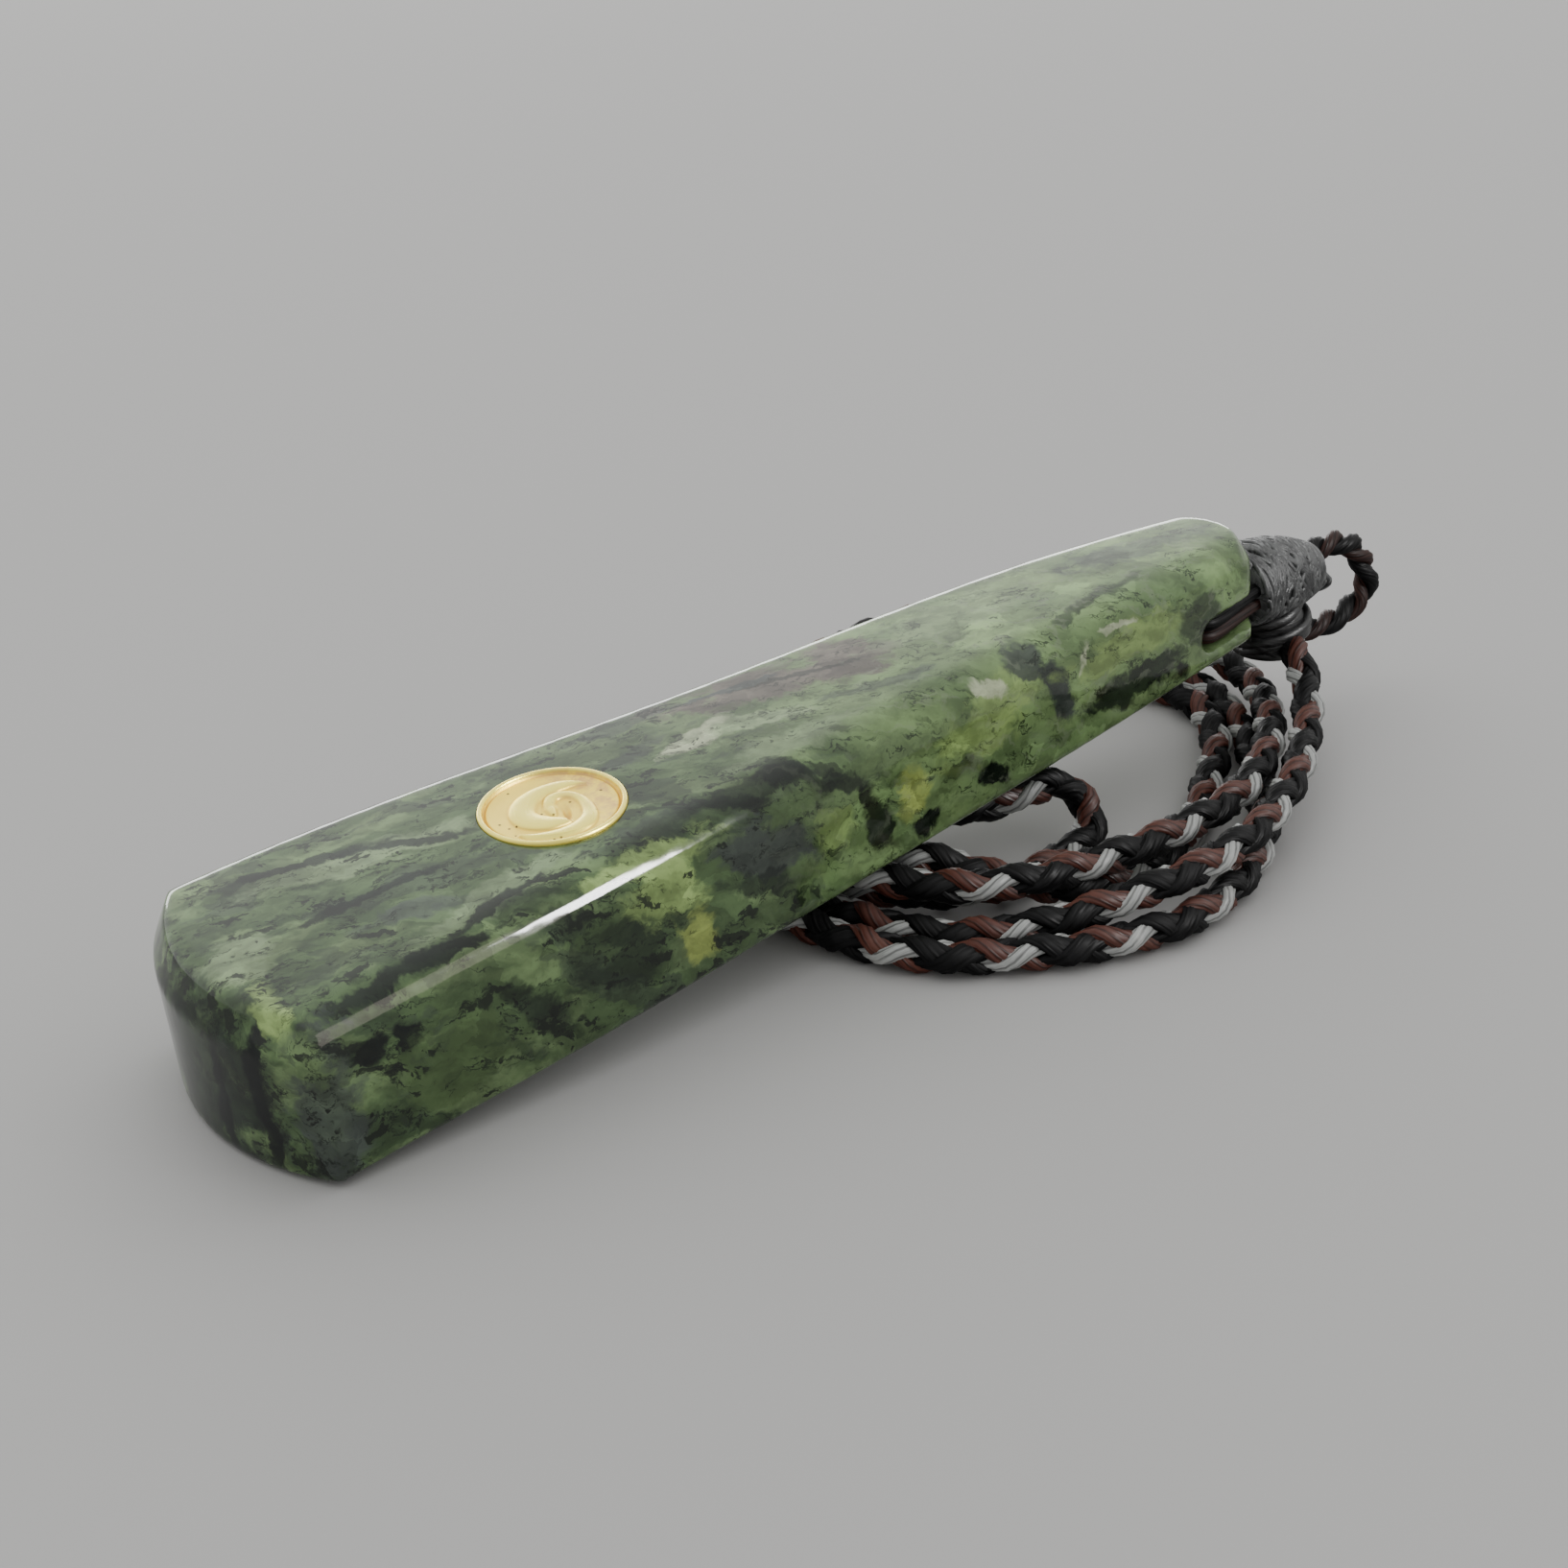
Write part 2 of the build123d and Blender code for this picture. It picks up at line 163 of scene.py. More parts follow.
# %% [markdown]
# ## The smooth line
# Blender's own NURBS curve draws the line that the braid will follow. It runs smoothly past its
# points, so no strand gets a corner where one stretch of the route ends and the next begins. The
# line is only read, and the braid is made round the points that it gives.

# %% The smooth line
def nurbs_line(name, points):
    """Curve object whose one open NURBS spline of order 3 follows these control points."""
    data = bpy.data.curves.new(name, "CURVE")
    data.dimensions = "3D"
    data.resolution_u = 16
    spline = data.splines.new("NURBS")
    spline.points.add(len(points) - 1)
    for control, place in zip(spline.points, points):
        control.co = (*place, 1)
    spline.order_u = 3
    spline.use_endpoint_u = True
    line = bpy.data.objects.new(name, data)
    bpy.context.collection.objects.link(line)
    return line


def read_line(line):
    """Points along a curve that has no bevel, as Blender works them out."""
    graph = bpy.context.evaluated_depsgraph_get()
    mesh = bpy.data.meshes.new_from_object(line.evaluated_get(graph))
    points = np.array([vertex.co for vertex in mesh.vertices])
    bpy.data.meshes.remove(mesh)
    return points


def length_of(points):
    """Length of a line of points."""
    return float(np.linalg.norm(np.diff(points, axis=0), axis=1).sum())


neck_line = nurbs_line("neck_line", neck_route)
neck_points = read_line(neck_line)
print("neck cord is", round(length_of(neck_points), 4), "m long")

# %% [markdown]
# ## Short words for node trees
# Every finish below is a tree of small nodes. Blender makes such a tree one node and one link at a
# time, so a few helpers say the same in a line: one adds a node and feeds its inputs, others are
# the sums, noises and blends that every finish needs, and one starts a group with named inputs and
# outputs.

# %% Helpers for node trees
def add(tree, kind, settings=(), inputs=()):
    """New node. Settings are its own choices, inputs are values or the outputs that feed them."""
    made = tree.nodes.new(kind)
    for name, value in dict(settings).items():
        setattr(made, name, value)
    for name, value in dict(inputs).items():
        feed(tree, made.inputs[name], value)
    return made


def feed(tree, socket, value):
    """Links an output to this input, or sets the input's own value."""
    if isinstance(value, bpy.types.NodeSocket):
        tree.links.new(value, socket)
    else:
        socket.default_value = value


def calculate(tree, operation, *values):
    """Output of a Math node."""
    return add(tree, "ShaderNodeMath", {"operation": operation}, dict(enumerate(values))).outputs[0]


def times(tree, first, *others):
    """Output of values multiplied together."""
    for other in others:
        first = calculate(tree, "MULTIPLY", first, other)
    return first


def vector_math(tree, operation, *values):
    """Output of a Vector Math node, a single number for a length or a dot product."""
    node = add(tree, "ShaderNodeVectorMath", {"operation": operation}, dict(enumerate(values)))
    return node.outputs["Value" if operation in ("DOT_PRODUCT", "LENGTH") else "Vector"]


def remap(tree, value, low, high, start=0.0, end=1.0):
    """Output that goes smoothly from start to end while value goes from low to high."""
    settings = {"interpolation_type": "SMOOTHSTEP"}
    inputs = {"Value": value, "From Min": low, "From Max": high, "To Min": start, "To Max": end}
    return add(tree, "ShaderNodeMapRange", settings, inputs).outputs[0]


def clouds(tree, position, scale, detail=3.0, roughness=0.55):
    """Noise node that reads this position."""
    inputs = {"Vector": position, "Scale": scale, "Detail": detail, "Roughness": roughness}
    return add(tree, "ShaderNodeTexNoise", (), inputs)


def blend(tree, share, under, over, kind="MIX"):
    """Output of one colour laid over another."""
    settings = {"data_type": "RGBA", "blend_type": kind}
    return add(tree, "ShaderNodeMix", settings, {0: share, 6: under, 7: over}).outputs[2]


print("sums, noises and blends are ready")

# %% [markdown]
# ## Groups and finishes
# A pattern that several materials share is built once, as a group with its own inputs and outputs.
# A material then holds one Principled shader. Most patterns here are measured in millimetres on
# the object itself, so they stay the same size and in the same place from every side.

# %% Groups and finishes
def new_group(name, kind, inputs, outputs):
    """Empty group with these sockets, its inputs to read and its outputs to feed."""
    tree = bpy.data.node_groups.new(name, kind)
    for label, form, value in inputs:
        socket = tree.interface.new_socket(label, in_out="INPUT", socket_type="NodeSocket" + form)
        if value is not None:
            socket.default_value = value
    for label, form in outputs:
        tree.interface.new_socket(label, in_out="OUTPUT", socket_type="NodeSocket" + form)
    return tree, tree.nodes.new("NodeGroupInput").outputs, tree.nodes.new("NodeGroupOutput")


def new_finish(name):
    """Material with its tree and its Principled shader."""
    made = bpy.data.materials.new(name)
    made.use_nodes = True
    return made, made.node_tree, made.node_tree.nodes["Principled BSDF"]


def millimetres(tree):
    """Object coordinates of the surface in millimetres."""
    place = add(tree, "ShaderNodeTexCoord").outputs["Object"]
    return vector_math(tree, "MULTIPLY", place, (1 / MM, 1 / MM, 1 / MM))


def cells(tree, position, scale):
    """Outputs of a pattern of cells: the distance from a cell's middle, and its colour."""
    return add(tree, "ShaderNodeTexVoronoi", {"feature": "F1"}, {"Vector": position, "Scale": scale}).outputs


def uneven(tree, shader, height, strength, deep):
    """Feeds a bump with this pattern of heights, this deep in millimetres, to the shader."""
    inputs = {"Strength": strength, "Distance": deep * MM, "Height": height}
    feed(tree, shader.inputs["Normal"], add(tree, "ShaderNodeBump", (), inputs).outputs[0])


print("groups and finishes are ready")

# %% [markdown]
# ## Waxed thread
# The whole cord is made of the same thing: fine waxed threads, laid side by side, in white, brown,
# black or grey. Up close each strand shows a few grooves between its threads and hairlike fibres
# along them, and the grooves are painted darker, as painted shade. One group makes that pattern from
# the strand's own UV map, where U goes once round the strand and V is the length in millimetres, so
# it follows every bend. Each colour is then a small material round this group.

# %% The thread pattern
THREADS_ROUND = 6.0
THREAD_TWIST = 0.10
FIBRES_ROUND = 34.0
FIBRES_ALONG = 0.9
WAX_SCALE = 0.6

laid, laid_in, laid_out = new_group(
    "laid_threads",
    "ShaderNodeTree",
    [("Threads", "Float", THREADS_ROUND), ("Twist", "Float", THREAD_TWIST)],
    [("Shade", "Float"), ("Height", "Float"), ("Wax", "Float")],
)
strand_map = add(laid, "ShaderNodeUVMap", {"uv_map": "strand"}).outputs[0]
around, along = add(laid, "ShaderNodeSeparateXYZ", (), {0: strand_map}).outputs[:2]
turned = calculate(laid, "ADD", times(laid, around, laid_in["Threads"]), times(laid, along, laid_in["Twist"]))
wave = calculate(laid, "ABSOLUTE", calculate(laid, "SINE", times(laid, turned, math.pi)))
groove = remap(laid, wave, 0.0, 0.75)
fibre_round = times(laid, turned, FIBRES_ROUND / THREADS_ROUND)
fibre_along = times(laid, along, FIBRES_ALONG)
fibre_place = add(laid, "ShaderNodeCombineXYZ", (), {0: fibre_round, 1: fibre_along}).outputs[0]
fibres = clouds(laid, fibre_place, 1.0, 2.0).outputs[0]
wax = clouds(laid, vector_math(laid, "MULTIPLY", strand_map, (2.0, WAX_SCALE, 1.0)), 1.0, 3.0).outputs[0]
# Painted shade: the grooves between the threads are darkened, and the fibres vary the tone
shade = times(laid, remap(laid, groove, 0, 1, 0.35, 1), remap(laid, fibres, 0.25, 0.75, 0.7, 1.15))
feed(laid, laid_out.inputs["Shade"], shade)
feed(laid, laid_out.inputs["Height"], calculate(laid, "ADD", groove, times(laid, fibres, 0.35)))
feed(laid, laid_out.inputs["Wax"], wax)


def thread_finish(name, deep, full, pale, gloss):
    """Material of waxed thread: painted shade in its grooves, its colour on top, and where wax lies."""
    made, tree, shader = new_finish(name)
    pattern = add(tree, "ShaderNodeGroup", {"node_tree": laid}).outputs
    colour = blend(tree, pattern["Shade"], (*deep, 1), (*full, 1))
    colour = blend(tree, remap(tree, pattern["Wax"], 0.5, 0.75, 0, 0.5), colour, (*pale, 1))
    feed(tree, shader.inputs["Base Color"], colour)
    feed(tree, shader.inputs["Roughness"], remap(tree, pattern["Wax"], 0.3, 0.7, 0.45, 0.7))
    shader.inputs["Specular IOR Level"].default_value = gloss
    uneven(tree, shader, pattern["Height"], 0.9, 0.05)
    return made


# Rows: painted shade colour in the grooves, colour on top and where wax lies, and gloss
THREAD_COLOURS = {
    "white_thread": ((0.04, 0.04, 0.04), (0.42, 0.43, 0.42), (0.58, 0.58, 0.56), 0.3),
    "brown_thread": ((0.006, 0.002, 0.0015), (0.095, 0.026, 0.016), (0.16, 0.065, 0.045), 0.3),
    "dark_brown_thread": ((0.002, 0.001, 0.001), (0.032, 0.010, 0.007), (0.06, 0.025, 0.018), 0.2),
    "black_thread": ((0.0005, 0.0005, 0.0005), (0.004, 0.004, 0.0045), (0.014, 0.014, 0.015), 0.14),
}
threads = {name: thread_finish(name, *row) for name, row in THREAD_COLOURS.items()}
print("thread colours:", list(threads))

# %% [markdown]
# ## The braid
# The cord is a round braid of four strands. Two wind one way, a white and a black one, and two
# wind the other way, a brown and a black one, and where they cross, each goes over and under in
# turn. That is a rule, so each strand is its own tube along a helix round the smooth line: its
# angle grows or falls with the length, and its distance from the line swings in and out twice a
# turn. A texture on a plain tube would have been quicker, but the lens shaped crossings stand
# out and cast shadows, so they are made as shapes.

# %% Strands as tubes
BRAID_PITCH = 7.64 * MM
BRAID_PHASE = 0.28
STRAND_MIDDLE = 0.54 * MM
STRAND_SWING = 0.22 * MM
STRAND_HALF_THICKNESS = 0.48 * MM
STRAND_WIDTHS = {"white": 0.52 * MM, "brown": 0.64 * MM, "black": 0.76 * MM}
STRAND_SIDES = 20
STRAND_STEP = 0.5 * MM
THREAD_RELIEF = 0.10
STRANDS = (("white", 1, 0.0), ("black", 1, 0.5), ("brown", -1, 0.0), ("black", -1, 0.5))


def evenly(points, step):
    """The line again, with points about a step apart."""
    along = np.concatenate([[0], np.cumsum(np.linalg.norm(np.diff(points, axis=0), axis=1))])
    at = np.linspace(0, along[-1], int(round(along[-1] / step)) + 1)
    return np.stack([np.interp(at, along, points[:, k]) for k in range(3)], axis=1), at


def unit(vectors):
    """Vectors of length one."""
    return vectors / np.maximum(np.linalg.norm(vectors, axis=-1, keepdims=True), 1e-12)


def sides_along(points):
    """Side and upward vectors at each point of a line that is never upright."""
    ahead = unit(np.gradient(points, axis=0))
    side = unit(np.cross(ahead, (0, 0, 1)))
    return side, np.cross(side, ahead)


def new_piece(name, mesh, finishes=()):
    """Object with this mesh and these materials, in the scene."""
    made = bpy.data.objects.new(name, mesh)
    bpy.context.collection.objects.link(made)
    for finish in finishes:
        mesh.materials.append(finish)
    return made


def tube_mesh(name, lines):
    """Mesh of closed strands. Each line has its centres, two radius vectors and a material number.

    Round each strand its radius rises and falls once a thread, and the grooves between the threads
    turn slowly round it along its length, as the pattern of the material does.
    """
    vertices, faces, numbers, places = [], [], [], []
    offset, sides = 0, STRAND_SIDES
    share = np.arange(sides + 1) / sides
    angles = share[:-1] * 2 * math.pi
    here, after = np.arange(sides)[None, :], (np.arange(sides)[None, :] + 1) % sides
    for centres, wide, thick, number in lines:
        count = len(centres)
        steps = np.linalg.norm(np.diff(centres, axis=0), axis=1)
        along = np.concatenate([[0], np.cumsum(steps)]) / MM
        turned = share[None, :-1] * THREADS_ROUND + along[:, None] * THREAD_TWIST
        lobes = 1 + THREAD_RELIEF * (2 * np.abs(np.sin(math.pi * turned)) - 1.3)
        across = (np.cos(angles)[None, :] * lobes)[..., None]
        upward = (np.sin(angles)[None, :] * lobes)[..., None]
        rings = centres[:, None, :] + wide[:, None, :] * across + thick[:, None, :] * upward
        vertices.append(rings.reshape(-1, 3))
        ring = np.arange(count - 1)[:, None] * sides
        quads = np.stack([ring + here, ring + after, ring + sides + after, ring + sides + here], axis=-1)
        faces += (quads.reshape(-1, 4) + offset).tolist()
        low, high, start, end = np.broadcast_arrays(share[:-1], share[1:], along[:-1, None], along[1:, None])
        corners = np.stack([low, start, high, start, high, end, low, end], axis=-1)
        places.append(corners.reshape(-1, 2))
        faces.append((np.arange(sides)[::-1] + offset).tolist())
        faces.append((np.arange(sides) + offset + (count - 1) * sides).tolist())
        places.append(np.tile([[0.5, 0.0]], (2 * sides, 1)))
        numbers += [number] * (len(quads) * sides + 2)
        offset += count * sides
    mesh = bpy.data.meshes.new(name)
    mesh.from_pydata(np.concatenate(vertices).tolist(), [], faces)
    mesh.polygons.foreach_set("material_index", numbers)
    mesh.polygons.foreach_set("use_smooth", [True] * len(faces))
    mesh.uv_layers.new(name="strand").data.foreach_set("uv", np.concatenate(places).ravel())
    mesh.update()
    return mesh


print("each strand has", STRAND_SIDES, "sides")

# %% [markdown]
# ## The neck cord
# The four strands follow the whole line, from the knot round the coil and back to the knot. They
# are one piece, because the cord bends as a whole.

# %% The neck cord
def braid_lines(points, at):
    """The four strands of the braid along a line, for tube_mesh."""
    side, up = sides_along(points)
    colours = list(STRAND_WIDTHS)
    made = []
    for colour, turns_way, phase in STRANDS:
        angle = 2 * math.pi * (turns_way * (at / BRAID_PITCH + BRAID_PHASE) + phase)
        swing = turns_way * np.cos(4 * math.pi * (at / BRAID_PITCH + BRAID_PHASE))
        outward = side * np.cos(angle)[:, None] + up * np.sin(angle)[:, None]
        centres = points + outward * (STRAND_MIDDLE + STRAND_SWING * swing)[:, None]
        wide = unit(np.cross(unit(np.gradient(centres, axis=0)), outward)) * STRAND_WIDTHS[colour]
        made.append((centres, wide, outward * STRAND_HALF_THICKNESS, colours.index(colour)))
    return made


cord_points, cord_along = evenly(neck_points, STRAND_STEP)
neck_mesh = tube_mesh("neck_cord", braid_lines(cord_points, cord_along))
neck_cord = new_piece("neck_cord", neck_mesh, [threads[colour + "_thread"] for colour in STRAND_WIDTHS])
print("neck cord has", len(neck_mesh.polygons), "faces")
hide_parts("neck_cord_near", "neck_cord_far", "neck_cord_coil")
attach(neck_cord, "root")
bpy.data.objects.remove(neck_line)

# %% [markdown]
# ## The loop and the lashing
# Past the bound thread, two strands are twisted into a stiff little loop, and the neck cord's knot
# hangs on it. Two more run through the cross hole and along both grooves of the drop, a black one
# above a brown one. Both pieces follow short lists of points, as the neck cord does, and use the
# same strand maker, with a slow turn for the twisted pair and none for the flat one.

# %% Loop and lashing
PAIR_OFFSET = 0.43 * MM
PAIR_RADII = (0.46 * MM, 0.58 * MM)
LOOP_PITCH = 4.6 * MM
LASHING_OFFSET = 0.5 * MM
# So long a pitch, in metres, that the pair lies flat
NO_TWIST = 10.0
LOOP_POINTS = [
    (40.5, -0.27, 11.3), (42.3, -0.27, 11.6), (44.0, -0.27, 12.2), (45.9, -0.27, 12.0),
    (47.8, -0.27, 10.7), (49.1, -0.27, 8.8), (48.9, -0.27, 6.9), (47.3, -0.27, 6.0),
    (44.8, -0.27, 5.7), (42.2, -0.27, 5.8), (40.0, -0.27, 6.4),
]
LASHING_POINTS = [
    (36.0, -2.2, 11.4), (34.5, -2.5, 11.35), (31.5, -3.2, 11.15), (29.3, -3.8, 11.0),
    (28.1, -3.9, 10.9), (27.9, -3.0, 10.9), (27.9, -0.3, 10.9), (27.9, 2.4, 10.9),
    (28.1, 3.3, 10.9), (29.3, 3.2, 11.0), (31.5, 2.6, 11.15), (34.5, 1.95, 11.35),
    (36.0, 1.65, 11.4),
]


def sides_in_plane(points):
    """Side and outward vectors of a line that stays in one upright plane."""
    side = np.tile([0.0, 1.0, 0.0], (len(points), 1))
    return side, np.cross(side, unit(np.gradient(points, axis=0)))


def strand_piece(name, route, offset, pitch, radii, sides=sides_along):
    """Pair of strands along a route given in millimetres."""
    line = nurbs_line(name + "_line", [tuple(x * MM for x in point) for point in route])
    points, at = evenly(read_line(line), STRAND_STEP / 2)
    bpy.data.objects.remove(line)
    side, up = sides(points)
    strands = []
    for number, phase, radius in ((0, 0.75, radii[0]), (1, 0.25, radii[1])):
        angle = 2 * math.pi * (at / pitch + phase)
        outward = side * np.cos(angle)[:, None] + up * np.sin(angle)[:, None]
        centres = points + outward * offset
        wide = unit(np.cross(unit(np.gradient(centres, axis=0)), outward)) * radius
        strands.append((centres, wide, outward * radius, number))
    colours = (threads["dark_brown_thread"], threads["black_thread"])
    made = new_piece(name, tube_mesh(name, strands), colours)
    print(name, "has", len(made.data.polygons), "faces")
    return made


tip_loop = strand_piece("twisted_loop", LOOP_POINTS, PAIR_OFFSET, LOOP_PITCH, PAIR_RADII, sides_in_plane)
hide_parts("tip_loop")
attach(tip_loop, "root")
lashing = strand_piece("hole_strands", LASHING_POINTS, LASHING_OFFSET, NO_TWIST, (LASHING_OFFSET,) * 2)
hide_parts("hole_lashing")
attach(lashing, "root")

# %% [markdown]
# ## Thread wound round a solid
# The bound thread and the knot are both one thread wound many times round a core, a little
# crosswise in the middle and straight at the ends. That is work for Geometry Nodes: points along
# the core's axis each get a large ring, the ring leans by a random share of a named angle, and
# every point of it is shot inwards onto the core's surface. So the turns lie on the solid that
# the CAD gives, whatever its shape is, and the number of turns is one input.

# %% Finishes of the wound thread
GREY_WAX, GREY_THREAD = (0.014, 0.015, 0.016, 1), (0.080, 0.083, 0.083, 1)
PALE_FIBRE = (0.25, 0.258, 0.258, 1)
BLACK_WAX, WORN_WAX = (0.001, 0.001, 0.001, 1), (0.010, 0.010, 0.011, 1)


def grey_finish():
    """Material of the grey bound thread, speckled with dark wax and pale fibres."""
    made, tree, shader = new_finish("grey_thread")
    place = millimetres(tree)
    specks = clouds(tree, place, 0.9, 4.0, 0.6).outputs[0]
    drawn_out = vector_math(tree, "MULTIPLY", place, (2.2, 0.5, 0.5))
    streaks = clouds(tree, drawn_out, 1.6, 4.0, 0.6).outputs[0]
    colour = blend(tree, remap(tree, specks, 0.35, 0.65), GREY_WAX, GREY_THREAD)
    colour = blend(tree, remap(tree, streaks, 0.52, 0.70, 0, 0.7), colour, PALE_FIBRE)
    feed(tree, shader.inputs["Base Color"], colour)
    feed(tree, shader.inputs["Roughness"], remap(tree, specks, 0.3, 0.7, 0.38, 0.62))
    uneven(tree, shader, clouds(tree, place, 9.0, 3.0).outputs[0], 0.7, 0.05)
    return made


def wax_finish():
    """Material of the knot's black waxed cord, which has no UV map of its own."""
    made, tree, shader = new_finish("black_wax")
    drawn_out = vector_math(tree, "MULTIPLY", millimetres(tree), (0.5, 0.5, 3.0))
    streaks = clouds(tree, drawn_out, 2.0, 4.0, 0.65).outputs[0]
    feed(tree, shader.inputs["Base Color"], blend(tree, remap(tree, streaks, 0.45, 0.7), BLACK_WAX, WORN_WAX))
    feed(tree, shader.inputs["Roughness"], remap(tree, streaks, 0.3, 0.7, 0.3, 0.55))
    uneven(tree, shader, streaks, 0.8, 0.06)
    return made


print("finishes of the wound thread are ready")

# %% [markdown]
# ## The winding tree
# The tree takes a core, the two ends of its axis, the number of turns, the thread's radius, how
# far a turn may lean, a seed for the leaning, and a finish. First it stands rings along the axis,
# then it brings every point of them onto the core, and last it draws the thread along them.

# %% The winding tree
RING_POINTS = 44
RING_RADIUS = 7 * MM
THREAD_SIDES = 8
# Share of the thread's radius by which its middle stands off the core
PROUD_SHARE = 0.35
# Share of its distance from the axis at which a point stays if it misses the core
MISSED_SHARE = 0.3

winding, winding_in, winding_out = new_group(
    "wound_thread",
    "GeometryNodeTree",
    [
        ("Core", "Geometry", None),
        ("Start", "Vector", (0, 0, 0)),
        ("End", "Vector", (0, 0, 1)),
        ("Turns", "Int", 20),
        ("Thread radius", "Float", 0.2 * MM),
        ("Lean", "Float", 0.3),
        ("Seed", "Int", 7),
        ("Finish", "Material", None),
    ],
    [("Geometry", "Geometry")],
)


def stretched(vector, factor):
    """Output of a vector times one number."""
    inputs = {0: vector, "Scale": factor}
    return add(winding, "ShaderNodeVectorMath", {"operation": "SCALE"}, inputs).outputs[0]


def round_curve(points, radius):
    """Round curve, for the large rings and for the thread's section."""
    inputs = {"Resolution": points, "Radius": radius}
    return add(winding, "GeometryNodeCurvePrimitiveCircle", {"mode": "RADIUS"}, inputs).outputs[0]


print("winding tree has", len(winding.interface.items_tree), "sockets")

# %% [markdown]
# ## Rings along the core
# On the real cord each turn lies a little crosswise, so one even helix would look too neat. Each
# turn is a ring of its own here, set on a point of the axis and leaned by a random share of the
# named angle. The lean dies out at both ends, where the real turns lie straight.

# %% Rings along the core
core, start, end, radius = (winding_in[name] for name in ("Core", "Start", "End", "Thread radius"))
axis = vector_math(winding, "NORMALIZE", vector_math(winding, "SUBTRACT", end, start))
axis_line = add(winding, "GeometryNodeCurvePrimitiveLine", (), {"Start": start, "End": end}).outputs[0]
inputs = {"Curve": axis_line, "Count": winding_in["Turns"]}
axis_points = add(winding, "GeometryNodeCurveToPoints", {"mode": "COUNT"}, inputs).outputs
number = add(winding, "GeometryNodeInputIndex").outputs[0]
share_along = calculate(winding, "DIVIDE", number, winding_in["Turns"])
middle_share = calculate(winding, "SINE", times(winding, share_along, math.pi))
most = times(winding, winding_in["Lean"], middle_share)
least = times(winding, most, -1.0)
low, high = (add(winding, "ShaderNodeCombineXYZ", (), {0: x, 1: x}).outputs[0] for x in (least, most))
inputs = {0: low, 1: high, "Seed": winding_in["Seed"]}
lean = add(winding, "FunctionNodeRandomValue", {"data_type": "FLOAT_VECTOR"}, inputs).outputs[0]
turn = add(winding, "FunctionNodeEulerToRotation", (), {0: lean}).outputs[0]
inputs = {0: axis_points["Rotation"], 1: turn}
leaned = add(winding, "FunctionNodeRotateRotation", {"rotation_space": "LOCAL"}, inputs).outputs[0]
ring = round_curve(RING_POINTS, RING_RADIUS)
inputs = {"Points": axis_points["Points"], "Instance": ring, "Rotation": leaned}
rings = add(winding, "GeometryNodeInstanceOnPoints", (), inputs).outputs[0]
real_rings = add(winding, "GeometryNodeRealizeInstances", (), {0: rings}).outputs[0]
print("rings have", RING_POINTS, "points each")

# %% [markdown]
# ## Thread on the core
# Real thread is pulled tight, so it follows whatever it is wound on. A ray from each point of a
# ring towards the axis finds the core's surface there, and the point is set just above it. A point
# that misses the core is only drawn in towards the axis.

# %% Thread on the core
here = add(winding, "GeometryNodeInputPosition").outputs[0]
along_axis = vector_math(winding, "DOT_PRODUCT", vector_math(winding, "SUBTRACT", here, start), axis)
foot = vector_math(winding, "ADD", start, stretched(axis, along_axis))
inward = vector_math(winding, "SUBTRACT", foot, here)
inputs = {
    "Target Geometry": core,
    "Source Position": here,
    "Ray Direction": inward,
    "Ray Length": RING_RADIUS,
}
shot = add(winding, "GeometryNodeRaycast", (), inputs).outputs
proud = stretched(shot["Hit Normal"], times(winding, radius, PROUD_SHARE))
landed = vector_math(winding, "ADD", shot["Hit Position"], proud)
missed = vector_math(winding, "ADD", foot, stretched(inward, -MISSED_SHARE))
inputs = {"Switch": shot["Is Hit"], "False": missed, "True": landed}
place = add(winding, "GeometryNodeSwitch", {"input_type": "VECTOR"}, inputs).outputs[0]
wound = add(winding, "GeometryNodeSetPosition", (), {"Geometry": real_rings, "Position": place}).outputs[0]

inputs = {"Curve": wound, "Profile Curve": round_curve(THREAD_SIDES, radius)}
turns_of_thread = add(winding, "GeometryNodeCurveToMesh", (), inputs).outputs[0]
both = add(winding, "GeometryNodeJoinGeometry")
winding.links.new(turns_of_thread, both.inputs[0])
winding.links.new(core, both.inputs[0])
smooth = add(winding, "GeometryNodeSetShadeSmooth", (), {"Geometry": both.outputs[0]}).outputs[0]
real = add(winding, "GeometryNodeRealizeInstances", (), {0: smooth}).outputs[0]
painted = add(winding, "GeometryNodeSetMaterial", (), {"Geometry": real, "Material": winding_in["Finish"]})
feed(winding, winding_out.inputs[0], painted.outputs[0])
print("winding tree has", len(winding.nodes), "nodes")

# %% [markdown]
# ## Bound thread and knot
# Each core is a copy of its solid, and the tree's inputs say how many turns lie on it, how thick
# the thread is and how far it may lean. The bound thread has many fine turns, as far as the place
# where the loop comes out, and the knot has a few thick ones. The result is turned into a plain
# mesh, so nothing about it is left to be worked out later.

# %% Bound thread and knot
def solid_copy(node, name):
    """Merged copy of a solid's mesh, as a new object."""
    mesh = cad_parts[node].data.copy()
    mesh.materials.clear()
    shape = bmesh.new()
    shape.from_mesh(mesh)
    bmesh.ops.remove_doubles(shape, verts=shape.verts, dist=0.002 * MM)
    shape.to_mesh(mesh)
    shape.free()
    return new_piece(name, mesh)


def settle(made):
    """Turns an object's modifiers into its own plain mesh."""
    graph = bpy.context.evaluated_depsgraph_get()
    mesh = bpy.data.meshes.new_from_object(made.evaluated_get(graph))
    made.modifiers.clear()
    made.data = mesh
    mesh.name = made.name


